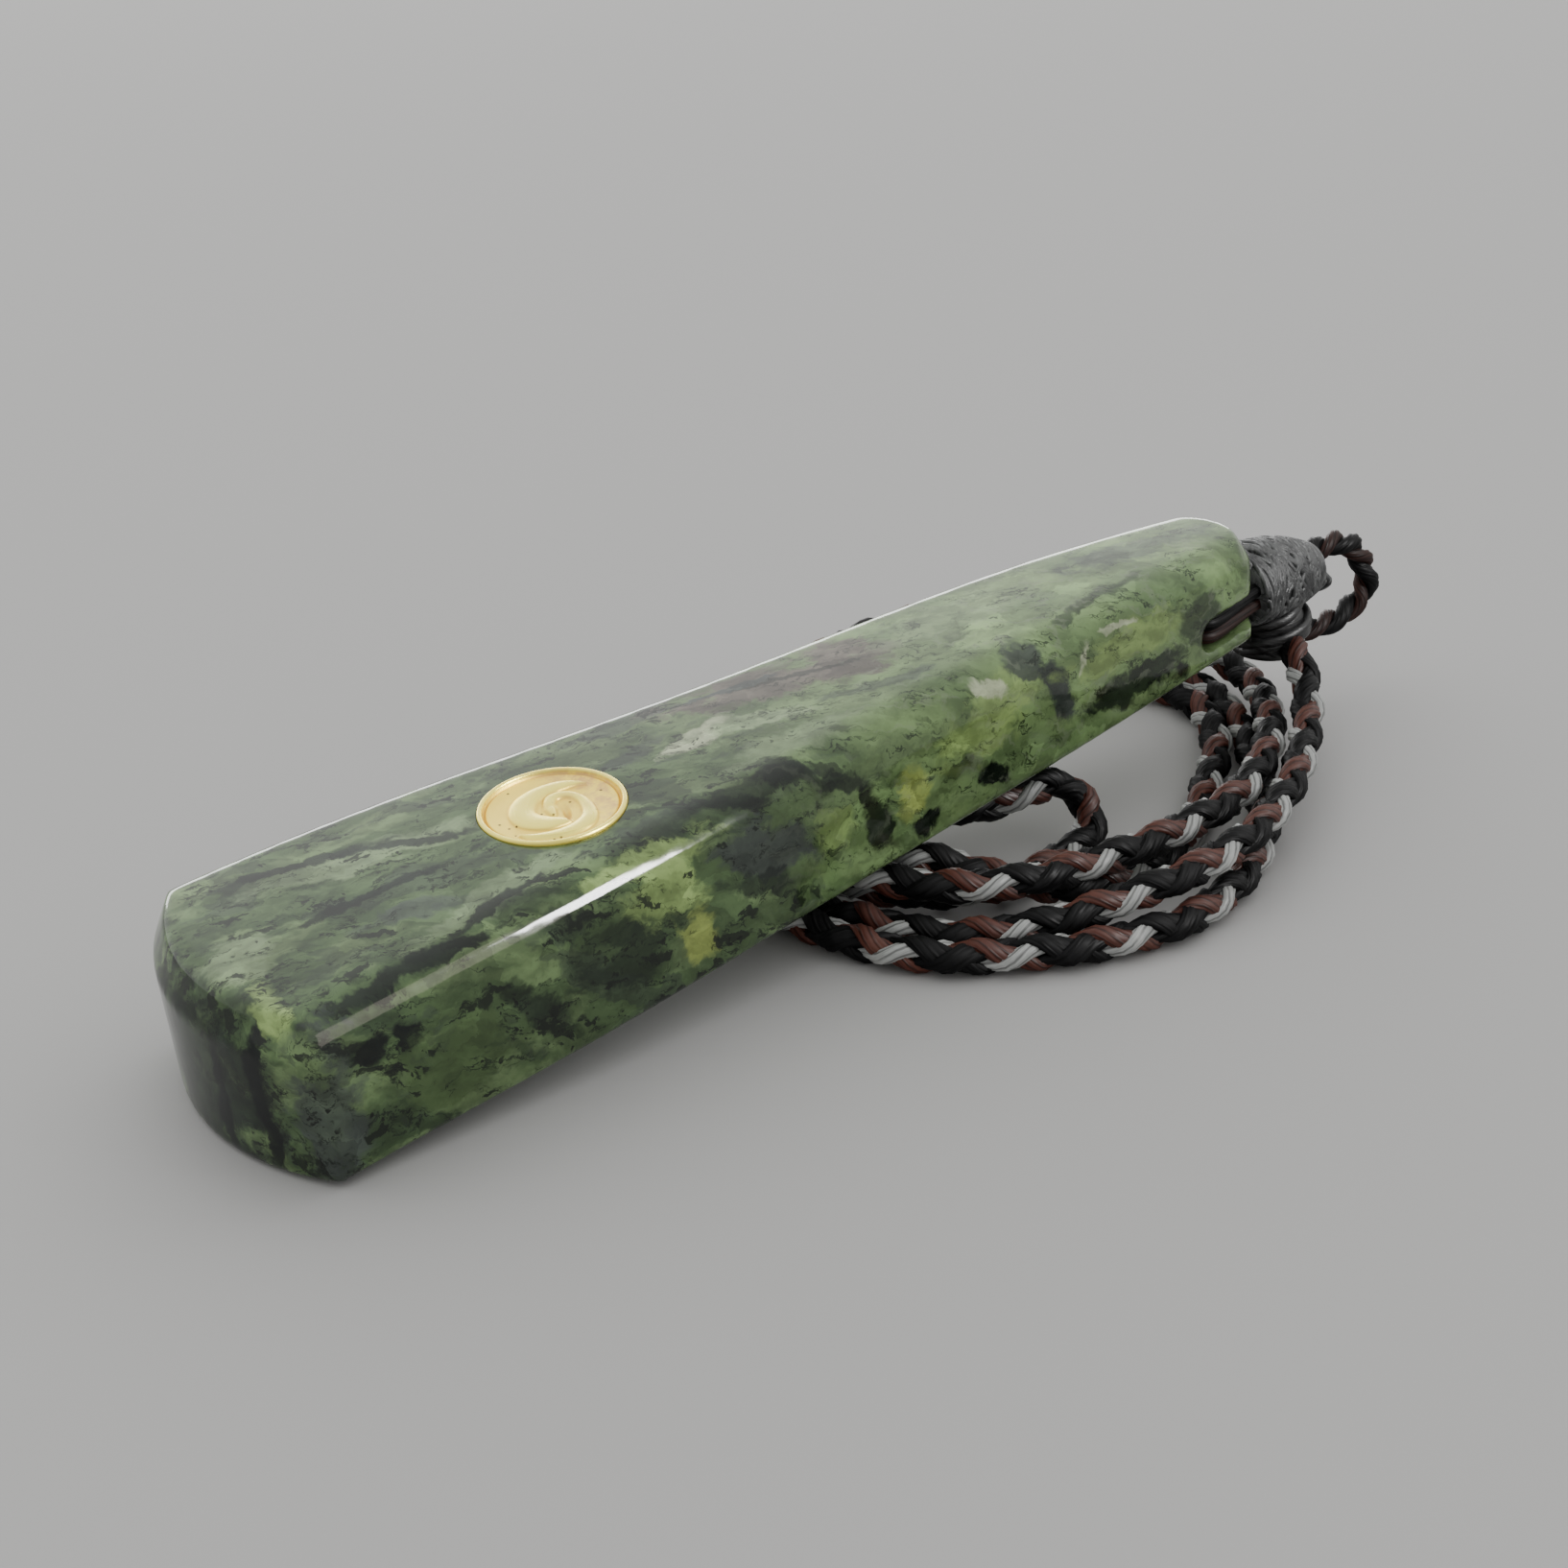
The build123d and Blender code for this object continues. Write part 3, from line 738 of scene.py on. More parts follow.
def wind(name, node, finish, ends, values, core_share=1.0):
    """Thread wound round a solid, or round its first part, between two ends of an axis."""
    made = solid_copy(node, name)
    first = min(vertex.co.x for vertex in made.data.vertices)
    for vertex in made.data.vertices:
        vertex.co.x = first + (vertex.co.x - first) * core_share
    modifier = made.modifiers.new("winding", "NODES")
    modifier.node_group = winding
    start, end = ((x * MM, BINDING_ACROSS * MM, z * MM) for x, z in ends)
    values = {**values, "Start": start, "End": end, "Finish": finish}
    for item in winding.interface.items_tree:
        if item.in_out == "INPUT" and item.name in values:
            modifier[item.identifier] = values[item.name]
    settle(made)
    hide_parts(node)
    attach(made, "root")
    print(name, "has", len(made.data.polygons), "faces")
    return made


# Ends of each axis: x and z in millimetres, with one y for both axes
BINDING_ACROSS = -0.27
BOUND_ENDS = ((34.45, 11.3), (41.9, 10.9))
BOUND_CORE_SHARE = 0.79
BOUND_VALUES = {"Turns": 54, "Thread radius": 0.21 * MM, "Lean": 0.5, "Seed": 11}
KNOT_ENDS = ((38.4, 5.95), (38.4, 8.75))
KNOT_VALUES = {"Turns": 7, "Thread radius": 0.42 * MM, "Lean": 0.35, "Seed": 3}

bound_thread = wind(
    "bound_thread", "thread_whipping", grey_finish(), BOUND_ENDS, BOUND_VALUES, BOUND_CORE_SHARE
)
knot = wind("knot", "cord_knot", wax_finish(), KNOT_ENDS, KNOT_VALUES)

# %% [markdown]
# ## The drop's shape
# The stone's solid is exact but made of long thin triangles, and a polished surface shows every one
# of them in its reflections. A voxel remesh cuts a copy into even small faces, and a little
# smoothing then rounds the edges as a polishing wheel does. Subdividing the CAD mesh would keep
# its long triangles, so their creases would stay. The disc's seat has to stay crisp, so it is
# filled first and drilled again at the end, the way a jeweller drills a polished stone.

# %% Where the disc sits
DISC_CENTRE = Vector([(low + high) / 2 for low, high in zip(*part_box("gold_disc"))])
DISC_SHARE = 0.973
SEAT_GAP = 0.035 * MM


def disc_axes():
    """The disc's own right, up and outward directions, its rim's and foot's levels, its radius."""
    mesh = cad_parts["gold_disc"].data
    outward = Vector((0, 0, 0))
    for face in mesh.polygons:
        if face.normal.z > 0.9:
            outward += face.normal * face.area
    outward.normalize()
    right = Vector((0, 1, 0)).cross(outward).normalized()
    up = outward.cross(right)
    levels = [vertex.co.dot(outward) for vertex in mesh.vertices]
    reach = max((vertex.co - DISC_CENTRE).dot(up) for vertex in mesh.vertices)
    return right, up, outward, max(levels), min(levels), reach


right, up, outward, rim_level, foot_level, seat_radius = disc_axes()
disc_radius = seat_radius * DISC_SHARE
print("disc radius is", round(disc_radius / MM, 2), "mm")

# %% [markdown]
# ## The disc's seat
# The disc sits in a shallow round seat with a crisp edge. A remesh would round that edge, so the
# seat's floor is first lifted to its rim, and a round cutter drills it again after the polish. The
# edges of the new wall are marked sharp, so they are shaded as cut edges.

# %% Filling and drilling the seat
SEAT_SIDES = 180
CUTTER_REACH = 3 * MM


def offsets_on_disc(mesh):
    """Places of a mesh's points, and how far each lies from the disc's axis, as vectors."""
    places = np.array([vertex.co for vertex in mesh.vertices])
    flat = places - np.array(DISC_CENTRE)
    return places, flat - np.outer(flat @ np.array(outward), outward)


def fill_seat(mesh):
    """Lifts the floor of the disc's seat to the seat's rim, and gives the floor's old level."""
    places, flat = offsets_on_disc(mesh)
    levels = places @ np.array(outward)
    seat = (np.linalg.norm(flat, axis=1) < seat_radius * 1.04) & (levels > foot_level - 0.5 * MM)
    middle = (levels[seat].min() + levels[seat].max()) / 2
    rim = np.flatnonzero(seat & (levels > middle))
    for number in np.flatnonzero(seat & (levels <= middle)):
        nearest = rim[np.argmin(np.linalg.norm(flat[rim] - flat[number], axis=1))]
        mesh.vertices[number].co = places[nearest]
    return levels[seat].min()


def seat_cutter(radius, floor_level):
    """Round cutter from the seat's floor to well above the stone."""
    angles = np.arange(SEAT_SIDES) * 2 * math.pi / SEAT_SIDES
    points = []
    for level in (floor_level, rim_level + CUTTER_REACH):
        middle = DISC_CENTRE + outward * (level - DISC_CENTRE.dot(outward))
        points += [middle + (right * math.cos(a) + up * math.sin(a)) * radius for a in angles]
    around = [(k, (k + 1) % SEAT_SIDES) for k in range(SEAT_SIDES)]
    faces = [(a, b, b + SEAT_SIDES, a + SEAT_SIDES) for a, b in around]
    faces += [tuple(range(SEAT_SIDES))[::-1], tuple(range(SEAT_SIDES, 2 * SEAT_SIDES))]
    mesh = bpy.data.meshes.new("seat_cutter")
    mesh.from_pydata([tuple(point) for point in points], [], faces)
    return new_piece("seat_cutter", mesh)


def drill_seat(made, floor_level):
    """Cuts the seat into the polished stone, and keeps its edges sharp."""
    radius = disc_radius + SEAT_GAP
    cutter = seat_cutter(radius, floor_level)
    cut = made.modifiers.new("seat", "BOOLEAN")
    cut.operation = "DIFFERENCE"
    cut.object = cutter
    settle(made)
    bpy.data.objects.remove(cutter)
    flat = offsets_on_disc(made.data)[1]
    on_wall = np.abs(np.linalg.norm(flat, axis=1) - radius) < 0.01 * MM
    for edge in made.data.edges:
        edge.use_edge_sharp = bool(on_wall[edge.vertices[0]] and on_wall[edge.vertices[1]])


print("seat radius is", round((disc_radius + SEAT_GAP) / MM, 2), "mm")

# %% [markdown]
# ## The polished drop
# Voxels of a quarter of a millimetre keep the bevels and the grooves, and a few passes of smoothing
# round them by about as much as polishing does. Smaller voxels would give more triangles and no
# more shape.

# %% The polished drop
STONE_VOXEL = 0.25 * MM
POLISH_PASSES = 6

drop = solid_copy("jade_drop", "polished_drop")
seat_floor = fill_seat(drop.data)
even = drop.modifiers.new("even_faces", "REMESH")
even.mode = "VOXEL"
even.voxel_size = STONE_VOXEL
even.use_smooth_shade = True
polish = drop.modifiers.new("polish", "SMOOTH")
polish.factor = 0.5
polish.iterations = POLISH_PASSES
settle(drop)
drill_seat(drop, seat_floor)
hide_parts("jade_drop")
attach(drop, "root")
print("drop has", len(drop.data.polygons), "faces")

# %% [markdown]
# ## The jade
# Jade of this kind is a dark green stone with clouds of lime, grey and brown, black blotches and
# thin dark veins, and no two pieces are alike. Noise alone gives green marble, but not this stone,
# so the large clouds are listed in a table: where each one is, how far it reaches, how it
# is turned, and its colour. One group paints a cloud over the colour below it. All of them
# read a position that noise has pushed about, which tears their edges.

# %% One cloud of colour
one_cloud, cloud_in, cloud_out = new_group(
    "stone_cloud",
    "ShaderNodeTree",
    [
        ("Under", "Color", None),
        ("Over", "Color", None),
        ("Position", "Vector", (0, 0, 0)),
        ("Ragged", "Float", 0.5),
        ("Middle", "Vector", (0, 0, 0)),
        ("Turn", "Vector", (0, 0, 0)),
        ("Reach", "Vector", (1, 1, 1)),
        ("Strength", "Float", 1.0),
    ],
    [("Colour", "Color")],
)
labels = {"Vector": "Position", "Location": "Middle", "Rotation": "Turn", "Scale": "Reach"}
inputs = {socket: cloud_in[label] for socket, label in labels.items()}
local = add(one_cloud, "ShaderNodeMapping", {"vector_type": "TEXTURE"}, inputs).outputs[0]
far = vector_math(one_cloud, "LENGTH", local)
ragged_edge = calculate(one_cloud, "ADD", far, cloud_in["Ragged"])
mask = times(one_cloud, remap(one_cloud, ragged_edge, 1.2, 0.68), cloud_in["Strength"])
feed(one_cloud, cloud_out.inputs[0], blend(one_cloud, mask, cloud_in["Under"], cloud_in["Over"]))
print("cloud group has", len(one_cloud.nodes), "nodes")

# %% [markdown]
# ## The table of clouds
# Nine colours are enough, because a cloud at less than full strength lets the colour below it
# show. A later row lies over an earlier one. The first row darkens the wide end's face as painted
# shade, and the others go along the top, then along the near side, and last round the wide end.

# %% The table of clouds
STONE_COLOURS = {
    "mid": (0.038, 0.062, 0.023),
    "pale": (0.125, 0.170, 0.090),
    "lime": (0.150, 0.215, 0.072),
    "yellow": (0.200, 0.245, 0.062),
    "deep": (0.0045, 0.007, 0.0055),
    "black": (0.0012, 0.0018, 0.0025),
    "slate": (0.026, 0.031, 0.029),
    "umber": (0.062, 0.052, 0.044),
    "cream": (0.300, 0.330, 0.220),
}
# Rows: colour, strength, middle x y z, reach x y z, turn about Y and Z in degrees
CLOUDS = (
    # Painted shade: the whole face of the wide end is darkened
    ("deep", 0.85, -50.5, -1, 4.5, 2.8, 13, 6.5, 0, 0),
    ("pale", 0.55, -36, 3, 12.5, 7, 1.5, 3, 0, -17),
    ("deep", 0.9, -38.5, 5.0, 12, 6.0, 0.5, 3, 0, -18),
    ("deep", 0.9, -33.5, 2.4, 12.3, 4.5, 0.5, 3, 0, -30),
    ("deep", 0.9, -38, -1.2, 12, 8, 0.5, 3, 0, -4),
    ("slate", 0.6, -37, -4.6, 12, 3.2, 0.9, 3, 0, -15),
    ("pale", 0.5, -33, -6.4, 12, 5.5, 1.2, 3, 0, 10),
    ("deep", 0.9, -33.5, -7.2, 12, 4.5, 0.45, 3, 0, 10),
    ("deep", 0.9, -39, -8.6, 11.3, 7, 0.5, 2, 0, 0),
    ("lime", 0.9, -23.5, -8.6, 12.6, 5.0, 1.1, 1.4, 0, 4),
    ("deep", 0.75, -20, -6.0, 13, 6, 0.45, 3, 0, -22),
    ("deep", 0.7, -14.5, -7.2, 13.5, 6, 0.8, 3, 0, -6),
    ("mid", 0.6, -20, 3.0, 13.8, 3.5, 1.3, 3, 0, -20),
    ("slate", 0.6, -18, 0.6, 14, 3.2, 0.8, 3, 0, 15),
    ("cream", 0.7, -13.5, -0.3, 14.5, 2.8, 1.0, 3, 0, 12),
    ("pale", 0.9, -9.5, -1.6, 14.8, 5, 0.9, 3, 0, -20),
    ("slate", 0.6, -16, 4.6, 14, 4, 0.8, 3, 0, -8),
    ("umber", 0.95, -6.5, 1.8, 15, 6.8, 2.1, 3, 0, -12),
    ("umber", 0.95, -0.5, 0.9, 15.6, 3.4, 2.9, 3, 0, 0),
    ("deep", 0.7, -4, 1.2, 15.2, 5.5, 0.35, 3, 0, -16),
    ("slate", 0.9, -8.5, 2.9, 14.8, 4.5, 0.4, 3, 0, -12),
    ("slate", 0.6, -1, -3.3, 15.5, 5, 0.7, 2, 0, -12),
    ("black", 0.6, 6.3, -1.9, 15.8, 1.0, 0.6, 2, 0, 0),
    ("pale", 0.45, 9, 0.5, 16, 7, 2.4, 3, 0, 0),
    ("slate", 0.7, 25, 0, 16.6, 7, 1.4, 2, 0, -5),
    ("deep", 0.7, 17, -3.9, 16.2, 4.5, 0.5, 2, 0, 8),
    ("pale", 0.45, -10, -5.2, 14.8, 5, 1.4, 3, 0, -5),
    ("slate", 0.8, -46, -9.3, 5, 2.2, 3, 4.5, 0, 0),
    ("black", 0.95, -43.8, -9.8, 8.2, 1.2, 2.2, 1.0, 0, 0),
    ("black", 0.95, -41.2, -9.8, 8.1, 1.0, 2.2, 1.3, 0, 0),
    ("mid", 0.85, -38.0, -9.5, 5.2, 4.5, 3, 3.0, 0, 0),
    ("deep", 0.75, -32.3, -9, 6.5, 1.1, 3, 3.2, -40, 0),
    ("deep", 0.7, -26.5, -9, 7, 3.2, 3, 2.0, 0, 0),
    ("lime", 0.95, -22.5, -8.8, 10.3, 3.0, 4, 1.9, 10, 0),
    ("yellow", 0.85, -20.5, -8.5, 6.4, 1.5, 3, 2.0, -30, 0),
    ("slate", 0.9, -14.5, -8, 10, 4.6, 3, 1.8, 15, 0),
    ("deep", 0.8, -16, -8, 8.4, 3.2, 3, 0.9, 20, 0),
    ("deep", 0.85, -9.5, -7.5, 12.9, 5.5, 2, 0.8, 20, 0),
    ("black", 0.9, -5.3, -7.5, 8.8, 1.0, 3, 3.2, -28, 0),
    ("lime", 0.6, -9, -7.5, 9.5, 2.4, 3, 1.5, 15, 0),
    ("yellow", 0.75, -2.0, -7, 9.6, 1.5, 3, 2.0, 0, 0),
    ("black", 0.95, -0.7, -6.5, 7.1, 1.3, 2.5, 0.8, -10, 0),
    ("lime", 0.9, 4.3, -6.2, 11.9, 5.6, 2.5, 2.3, -12, 0),
    ("deep", 0.5, 2.0, -6.6, 9.9, 2.0, 3, 0.7, -15, 0),
    ("black", 0.95, 5.2, -6.5, 8.1, 1.5, 2.5, 0.9, 10, 0),
    ("slate", 0.9, 8.8, -6, 14.8, 1.9, 2, 1.1, 20, 0),
    ("slate", 0.95, 11.6, -6, 12.0, 1.1, 2.5, 3.0, -25, 0),
    ("lime", 0.95, 18.5, -5.2, 13.4, 6.5, 2.4, 1.8, -4, 0),
    ("pale", 0.7, 15.3, -5.5, 10.6, 1.6, 3, 0.5, -50, 0),
    ("cream", 0.9, 13.9, -5.6, 13.9, 0.5, 2, 1.3, 15, 0),
    ("cream", 0.9, 17.6, -5.0, 15.2, 1.5, 2, 0.28, 8, 0),
    ("cream", 0.85, 5.3, -6.5, 14.2, 1.7, 2, 0.5, 25, 0),
    ("deep", 0.9, 19, -5.5, 10.0, 5.5, 3, 1.4, -6, 0),
    ("deep", 0.75, 26, -4.6, 12.7, 2.2, 2.5, 2.6, 0, 0),
    ("black", 0.9, 21.5, -4.2, 9.2, 3.0, 2, 0.9, -6, 0),
    ("black", 0.9, -49.5, -6.4, 4.5, 3, 0.7, 6, 0, 0),
    ("black", 0.85, -49.5, -3.0, 3.4, 3, 0.6, 4.5, 0, 0),
    ("deep", 0.6, -49.5, 2.5, 4.5, 3, 1.5, 5, 0, 0),
    ("lime", 0.85, -47.3, -5.8, 10.6, 0.9, 2.4, 1.0, 0, -15),
    ("pale", 0.6, -46.5, -1.5, 11.0, 2.2, 2.2, 1.0, 0, 0),
)
print("stone has", len(CLOUDS), "clouds")

# %% [markdown]
# ## The stone's ground
# The stone is painted in layers, each over the one before. At the bottom is a darker green in the
# wide half and a lighter, milkier one in the narrow half. Both are noise that is stretched along
# the grain of the stone, because the real one is drawn out that way.

# %% The stone's ground
WARP_BROAD = 2.2
WARP_FINE = 1.0
GRAIN_TURN = (0, math.radians(14), math.radians(-14))
NARROW_FROM, NARROW_TO = -20, 4
WIDE_GREENS = (0.020, 0.033, 0.015, 1), (0.037, 0.061, 0.025, 1)
NARROW_GREENS = (0.068, 0.108, 0.044, 1), (0.112, 0.170, 0.068, 1)
MILKY_GREEN = (0.088, 0.130, 0.056, 1)
SHADOW_GREEN = (0.016, 0.021, 0.017, 1)

jade, tree, shader = new_finish("jade")
place = millimetres(tree)


def pushed(position, scale, distance):
    """Position pushed about by noise of this scale, by up to half this distance."""
    push = vector_math(tree, "SUBTRACT", clouds(tree, position, scale).outputs["Color"], (0.5, 0.5, 0.5))
    return vector_math(tree, "MULTIPLY_ADD", push, (distance,) * 3, position)


def grained(position, stretch):
    """Position squeezed along the grain, so that noise read there comes out this much longer."""
    inputs = {"Vector": position, "Rotation": GRAIN_TURN, "Scale": (stretch, 1.0, 1.0)}
    return add(tree, "ShaderNodeMapping", {"vector_type": "TEXTURE"}, inputs).outputs[0]


def three_fields(position, scale, detail, roughness):
    """Three noises that have nothing to do with each other, from one node."""
    noise = clouds(tree, position, scale, detail, roughness).outputs["Color"]
    return add(tree, "ShaderNodeSeparateColor", (), {0: noise}).outputs


warped = pushed(pushed(place, 0.22, WARP_BROAD), 1.3, WARP_FINE)
along_drop = add(tree, "ShaderNodeSeparateXYZ", (), {0: warped}).outputs[0]
narrow_half = remap(tree, along_drop, NARROW_FROM, NARROW_TO)


def by_half(wide, narrow):
    """A share that goes from one value in the wide half to another in the narrow half."""
    return remap(tree, narrow_half, 0, 1, wide, narrow)


broad = three_fields(grained(warped, 2.6), 0.36, 3.0, 0.52)
torn = three_fields(grained(warped, 1.8), 0.6, 4.0, 0.56)
soft = clouds(tree, grained(place, 1.6), 0.16, 2.0, 0.5).outputs[0]
wide_stone = blend(tree, remap(tree, broad[0], 0.37, 0.52), *WIDE_GREENS)
narrow_stone = blend(tree, remap(tree, soft, 0.36, 0.62), *NARROW_GREENS)
colour = blend(tree, narrow_half, wide_stone, narrow_stone)
colour = blend(tree, remap(tree, broad[1], 0.51, 0.63, 0, 0.65), colour, MILKY_GREEN)
shadow = times(tree, remap(tree, broad[2], 0.57, 0.61), by_half(0.5, 0.15))
colour = blend(tree, shadow, colour, SHADOW_GREEN)
print("ground of the stone has", len(tree.nodes), "nodes")

# %% [markdown]
# ## The clouds, laid on
# A loop puts the cloud group into the tree once for each row of the table, and each takes the
# colour that the rows before it made as what lies under it. They all share one noise for their
# edges, so the edges are torn alike.

# %% The clouds, laid on
TORN_EDGE = 2.1

ragged = times(tree, calculate(tree, "SUBTRACT", torn[0], 0.5), TORN_EDGE)
for name, strength, x, y, z, reach_x, reach_y, reach_z, turn_y, turn_z in CLOUDS:
    inputs = {
        "Under": colour,
        "Over": (*STONE_COLOURS[name], 1),
        "Position": warped,
        "Ragged": ragged,
        "Middle": (x, y, z),
        "Turn": (0, math.radians(turn_y), math.radians(turn_z)),
        "Reach": (reach_x, reach_y, reach_z),
        "Strength": strength,
    }
    colour = add(tree, "ShaderNodeGroup", {"node_tree": one_cloud}, inputs).outputs[0]
print("with its clouds it has", len(tree.nodes), "nodes")

# %% [markdown]
# ## Streaks, veins and grains
# Chips of a Voronoi pattern and a soft mottle lighten or darken the clouds. Over that go dark
# streaks along the grain, veins, which are where stretched noise crosses its middle value, a few
# pale wisps, and black grains, which are the middles of small cells. The whole drop is polished,
# so only a faint unevenness goes to the roughness and the bump.

# %% Streaks, veins and grains
STREAK_COLOUR = (0.0096, 0.0132, 0.0096, 1)
VEIN_COLOUR = (0.0084, 0.012, 0.009, 1)
WISP_COLOUR = (0.252, 0.288, 0.204, 1)
GRAIN_COLOUR = (0.006, 0.0078, 0.006, 1)
STONE_IOR = 1.40


def line_of(value, level, width):
    """One where a noise crosses this level, falling to none this far off it."""
    off_level = calculate(tree, "ABSOLUTE", calculate(tree, "SUBTRACT", value, level))
    return remap(tree, off_level, width, width * 0.15)


drawn_out = grained(warped, 2.2)
chip = add(tree, "ShaderNodeSeparateColor", (), {0: cells(tree, drawn_out, 0.30)["Color"]}).outputs[0]
mottle = clouds(tree, drawn_out, 0.7, 4.0, 0.58).outputs[0]
shade = times(tree, remap(tree, chip, 0.0, 1.0, 0.80, 1.22), remap(tree, mottle, 0.34, 0.66, 1.45, 2.5))
colour = blend(tree, 1.0, colour, shade, "MULTIPLY")
fine = three_fields(grained(warped, 5.0), 0.8, 4.0, 0.6)
streak = remap(tree, fine[0], 0.56, 0.60, 0.0, 0.9)
streak = times(tree, streak, remap(tree, torn[1], 0.44, 0.54), by_half(1.0, 0.3))
vein = times(tree, line_of(fine[1], 0.5, 0.03), remap(tree, torn[2], 0.44, 0.60, 0.0, 0.8))
wisp = times(tree, line_of(broad[1], 0.47, 0.035), remap(tree, torn[1], 0.56, 0.42, 0.0, 0.3), narrow_half)
grain = remap(tree, cells(tree, warped, 1.7)[0], 0.30, 0.18)
grain = times(tree, grain, remap(tree, torn[2], 0.52, 0.62), by_half(0.9, 0.2))
layers = ((streak, STREAK_COLOUR), (vein, VEIN_COLOUR), (wisp, WISP_COLOUR), (grain, GRAIN_COLOUR))
for share, over in layers:
    colour = blend(tree, share, colour, over)
feed(tree, shader.inputs["Base Color"], colour)
feed(tree, shader.inputs["Roughness"], remap(tree, mottle, 0.3, 0.7, 0.05, 0.10))
uneven(tree, shader, clouds(tree, place, 0.8, 2.0).outputs[0], 0.05, 0.05)
shader.inputs["IOR"].default_value = STONE_IOR
drop.data.materials.append(jade)
print("jade tree has", len(tree.nodes), "nodes")

# %% [markdown]
# ## The gold disc
# The disc is cast and then polished on its raised parts: a narrow rim, and inside it a sunk field
# with two arms that curl into each other, an old spiral ornament. A relief like that is a height
# over a flat round, so the mesh is rings of points and each point is lifted by a rule: the rim by
# its distance from the middle, an arm by the distance from its line. Sculpting it by hand would
# look as good but could not be repeated.

# %% The disc's relief
# Rows of an arm: right, up, half width, in millimetres
ARM_FROM_TOP = (
    (3.10, 0.85, 0.06), (2.45, 1.45, 0.36), (1.50, 1.85, 0.60), (0.25, 1.98, 0.70),
    (-0.95, 1.55, 0.82), (-1.80, 0.60, 0.86), (-1.90, -0.45, 0.90), (-1.35, -1.35, 0.80),
    (-0.65, -1.90, 0.48), (-0.25, -2.25, 0.12),
)
ARM_FROM_FOOT = (
    (-3.30, -1.50, 0.12), (-2.75, -2.35, 0.44), (-1.60, -3.05, 0.62), (-0.35, -3.15, 0.66),
    (0.65, -2.80, 0.60), (1.28, -2.10, 0.48), (1.66, -1.20, 0.40), (1.80, -0.30, 0.34),
    (1.62, 0.45, 0.36), (1.10, 0.88, 0.42), (0.50, 0.86, 0.45), (0.05, 0.40, 0.40),
    (-0.25, -0.20, 0.34), (-0.45, -0.80, 0.22),
)
# The pit between the arms: right, up, half width, half length, turn
PIT = (0.30, -1.10, 0.26, 1.30, math.radians(-25))
PIT_DEPTH = 0.20
RIM_WIDTH = 0.36
RIM_ROUNDING = 0.2
GROOVE_FROM_RIM = 0.11
GROOVE_WIDTH = 0.08
GROOVE_DEPTH = 0.12
# Width of the painted shade along the feet of the arms
FOOT_SHADE_WIDTH = 0.10
FIELD_LEVEL = -0.30
FIELD_BOWL = 0.08
ARM_HEIGHT = 0.26
LOWER_ARM = 0.97
ARM_STEPS = 140

print("arms have", len(ARM_FROM_TOP) + len(ARM_FROM_FOOT), "rows")

# %% [markdown]
# ## Heights over the disc
# An arm is a row of overlapping round crowns along its smooth line, and the highest of them at a
# place is the height there. The rim, the groove inside it and the pit between the arms are plain
# functions of the place. The same rules give the painted shade that darkens the gold's hollows later.

# %% Heights over the disc
def arm_height(places, rows):
    """Height of a rounded arm over these places, and how far they lie outside its edge."""
    best, outside = np.zeros(len(places)), np.full(len(places), 9.0)
    for x, y, half in smooth_through(range(len(rows)), rows, np.linspace(0, len(rows) - 1, ARM_STEPS)):
        away = np.hypot(places[:, 0] - x, places[:, 1] - y)
        crown = np.clip(1 - (away / max(half, 0.05)) ** 2, 0, 1) ** 0.55
        best = np.maximum(best, crown * min(1.0, 0.4 + half))
        outside = np.minimum(outside, away - half)
    return best, outside


def pit_share(places):
    """How deep in the pit these places lie, and how much painted shade it gets, more at one end."""
    x, y, wide, long, turn = PIT
    across = (places[:, 0] - x) * math.cos(turn) + (places[:, 1] - y) * math.sin(turn)
    lengthways = (places[:, 1] - y) * math.cos(turn) - (places[:, 0] - x) * math.sin(turn)
    pit = np.clip(1 - (across / wide) ** 2 - (lengthways / long) ** 2, 0, 1)
    return pit, pit * np.clip(0.6 - lengthways, 0.25, 1)


def relief_over(places, outer):
    """Height in millimetres and share of painted hollow shade over these places, on a disc of this radius."""
    from_middle = np.hypot(places[:, 0], places[:, 1])
    rim_inside = outer - RIM_WIDTH
    rim = np.clip(1 - (np.abs(from_middle - outer + RIM_WIDTH / 2) / (RIM_WIDTH * 0.54)) ** 3, 0, 1)
    top_arm, off_top_arm = arm_height(places, ARM_FROM_TOP)
    foot_arm, off_foot_arm = arm_height(places, ARM_FROM_FOOT)
    arms = np.maximum(top_arm, foot_arm * LOWER_ARM)
    pit, pit_shade = pit_share(places)
    groove = np.exp(-(((from_middle - rim_inside + GROOVE_FROM_RIM) / GROOVE_WIDTH) ** 2))
    to_edge = np.minimum(np.abs(off_top_arm), np.abs(off_foot_arm))
    arm_foot_shade = np.exp(-((to_edge / FOOT_SHADE_WIDTH) ** 2)) * (1 - arms * 0.6)
    # Painted shade: darker along the feet of the arms, in the groove inside the rim and in the pit
    hollow_shades = np.clip(0.30 * arm_foot_shade + 0.75 * groove + pit_shade, 0, 1)
    hollow_shades[from_middle > rim_inside + 0.05] = 0
    arms = arms * np.clip((rim_inside - 0.2 - from_middle) / 0.4, 0, 1)
    bowl = FIELD_BOWL * (from_middle / outer) ** 2
    field = FIELD_LEVEL + bowl + ARM_HEIGHT * arms - PIT_DEPTH * pit - GROOVE_DEPTH * groove
    return np.where(from_middle < rim_inside, field, (rim - 1) * RIM_ROUNDING), hollow_shades


print("the rim's rounding is", RIM_ROUNDING, "mm deep, and the field", -FIELD_LEVEL, "mm")

# %% [markdown]
# ## The disc's mesh
# The rings of points lie closer together towards the edge, where the rim and its groove need them.
# From the last ring a wall goes down to a flat foot, so the disc is closed all round.

# %% The disc's mesh
RINGS_OF_POINTS = 118
POINTS_ROUND = 260

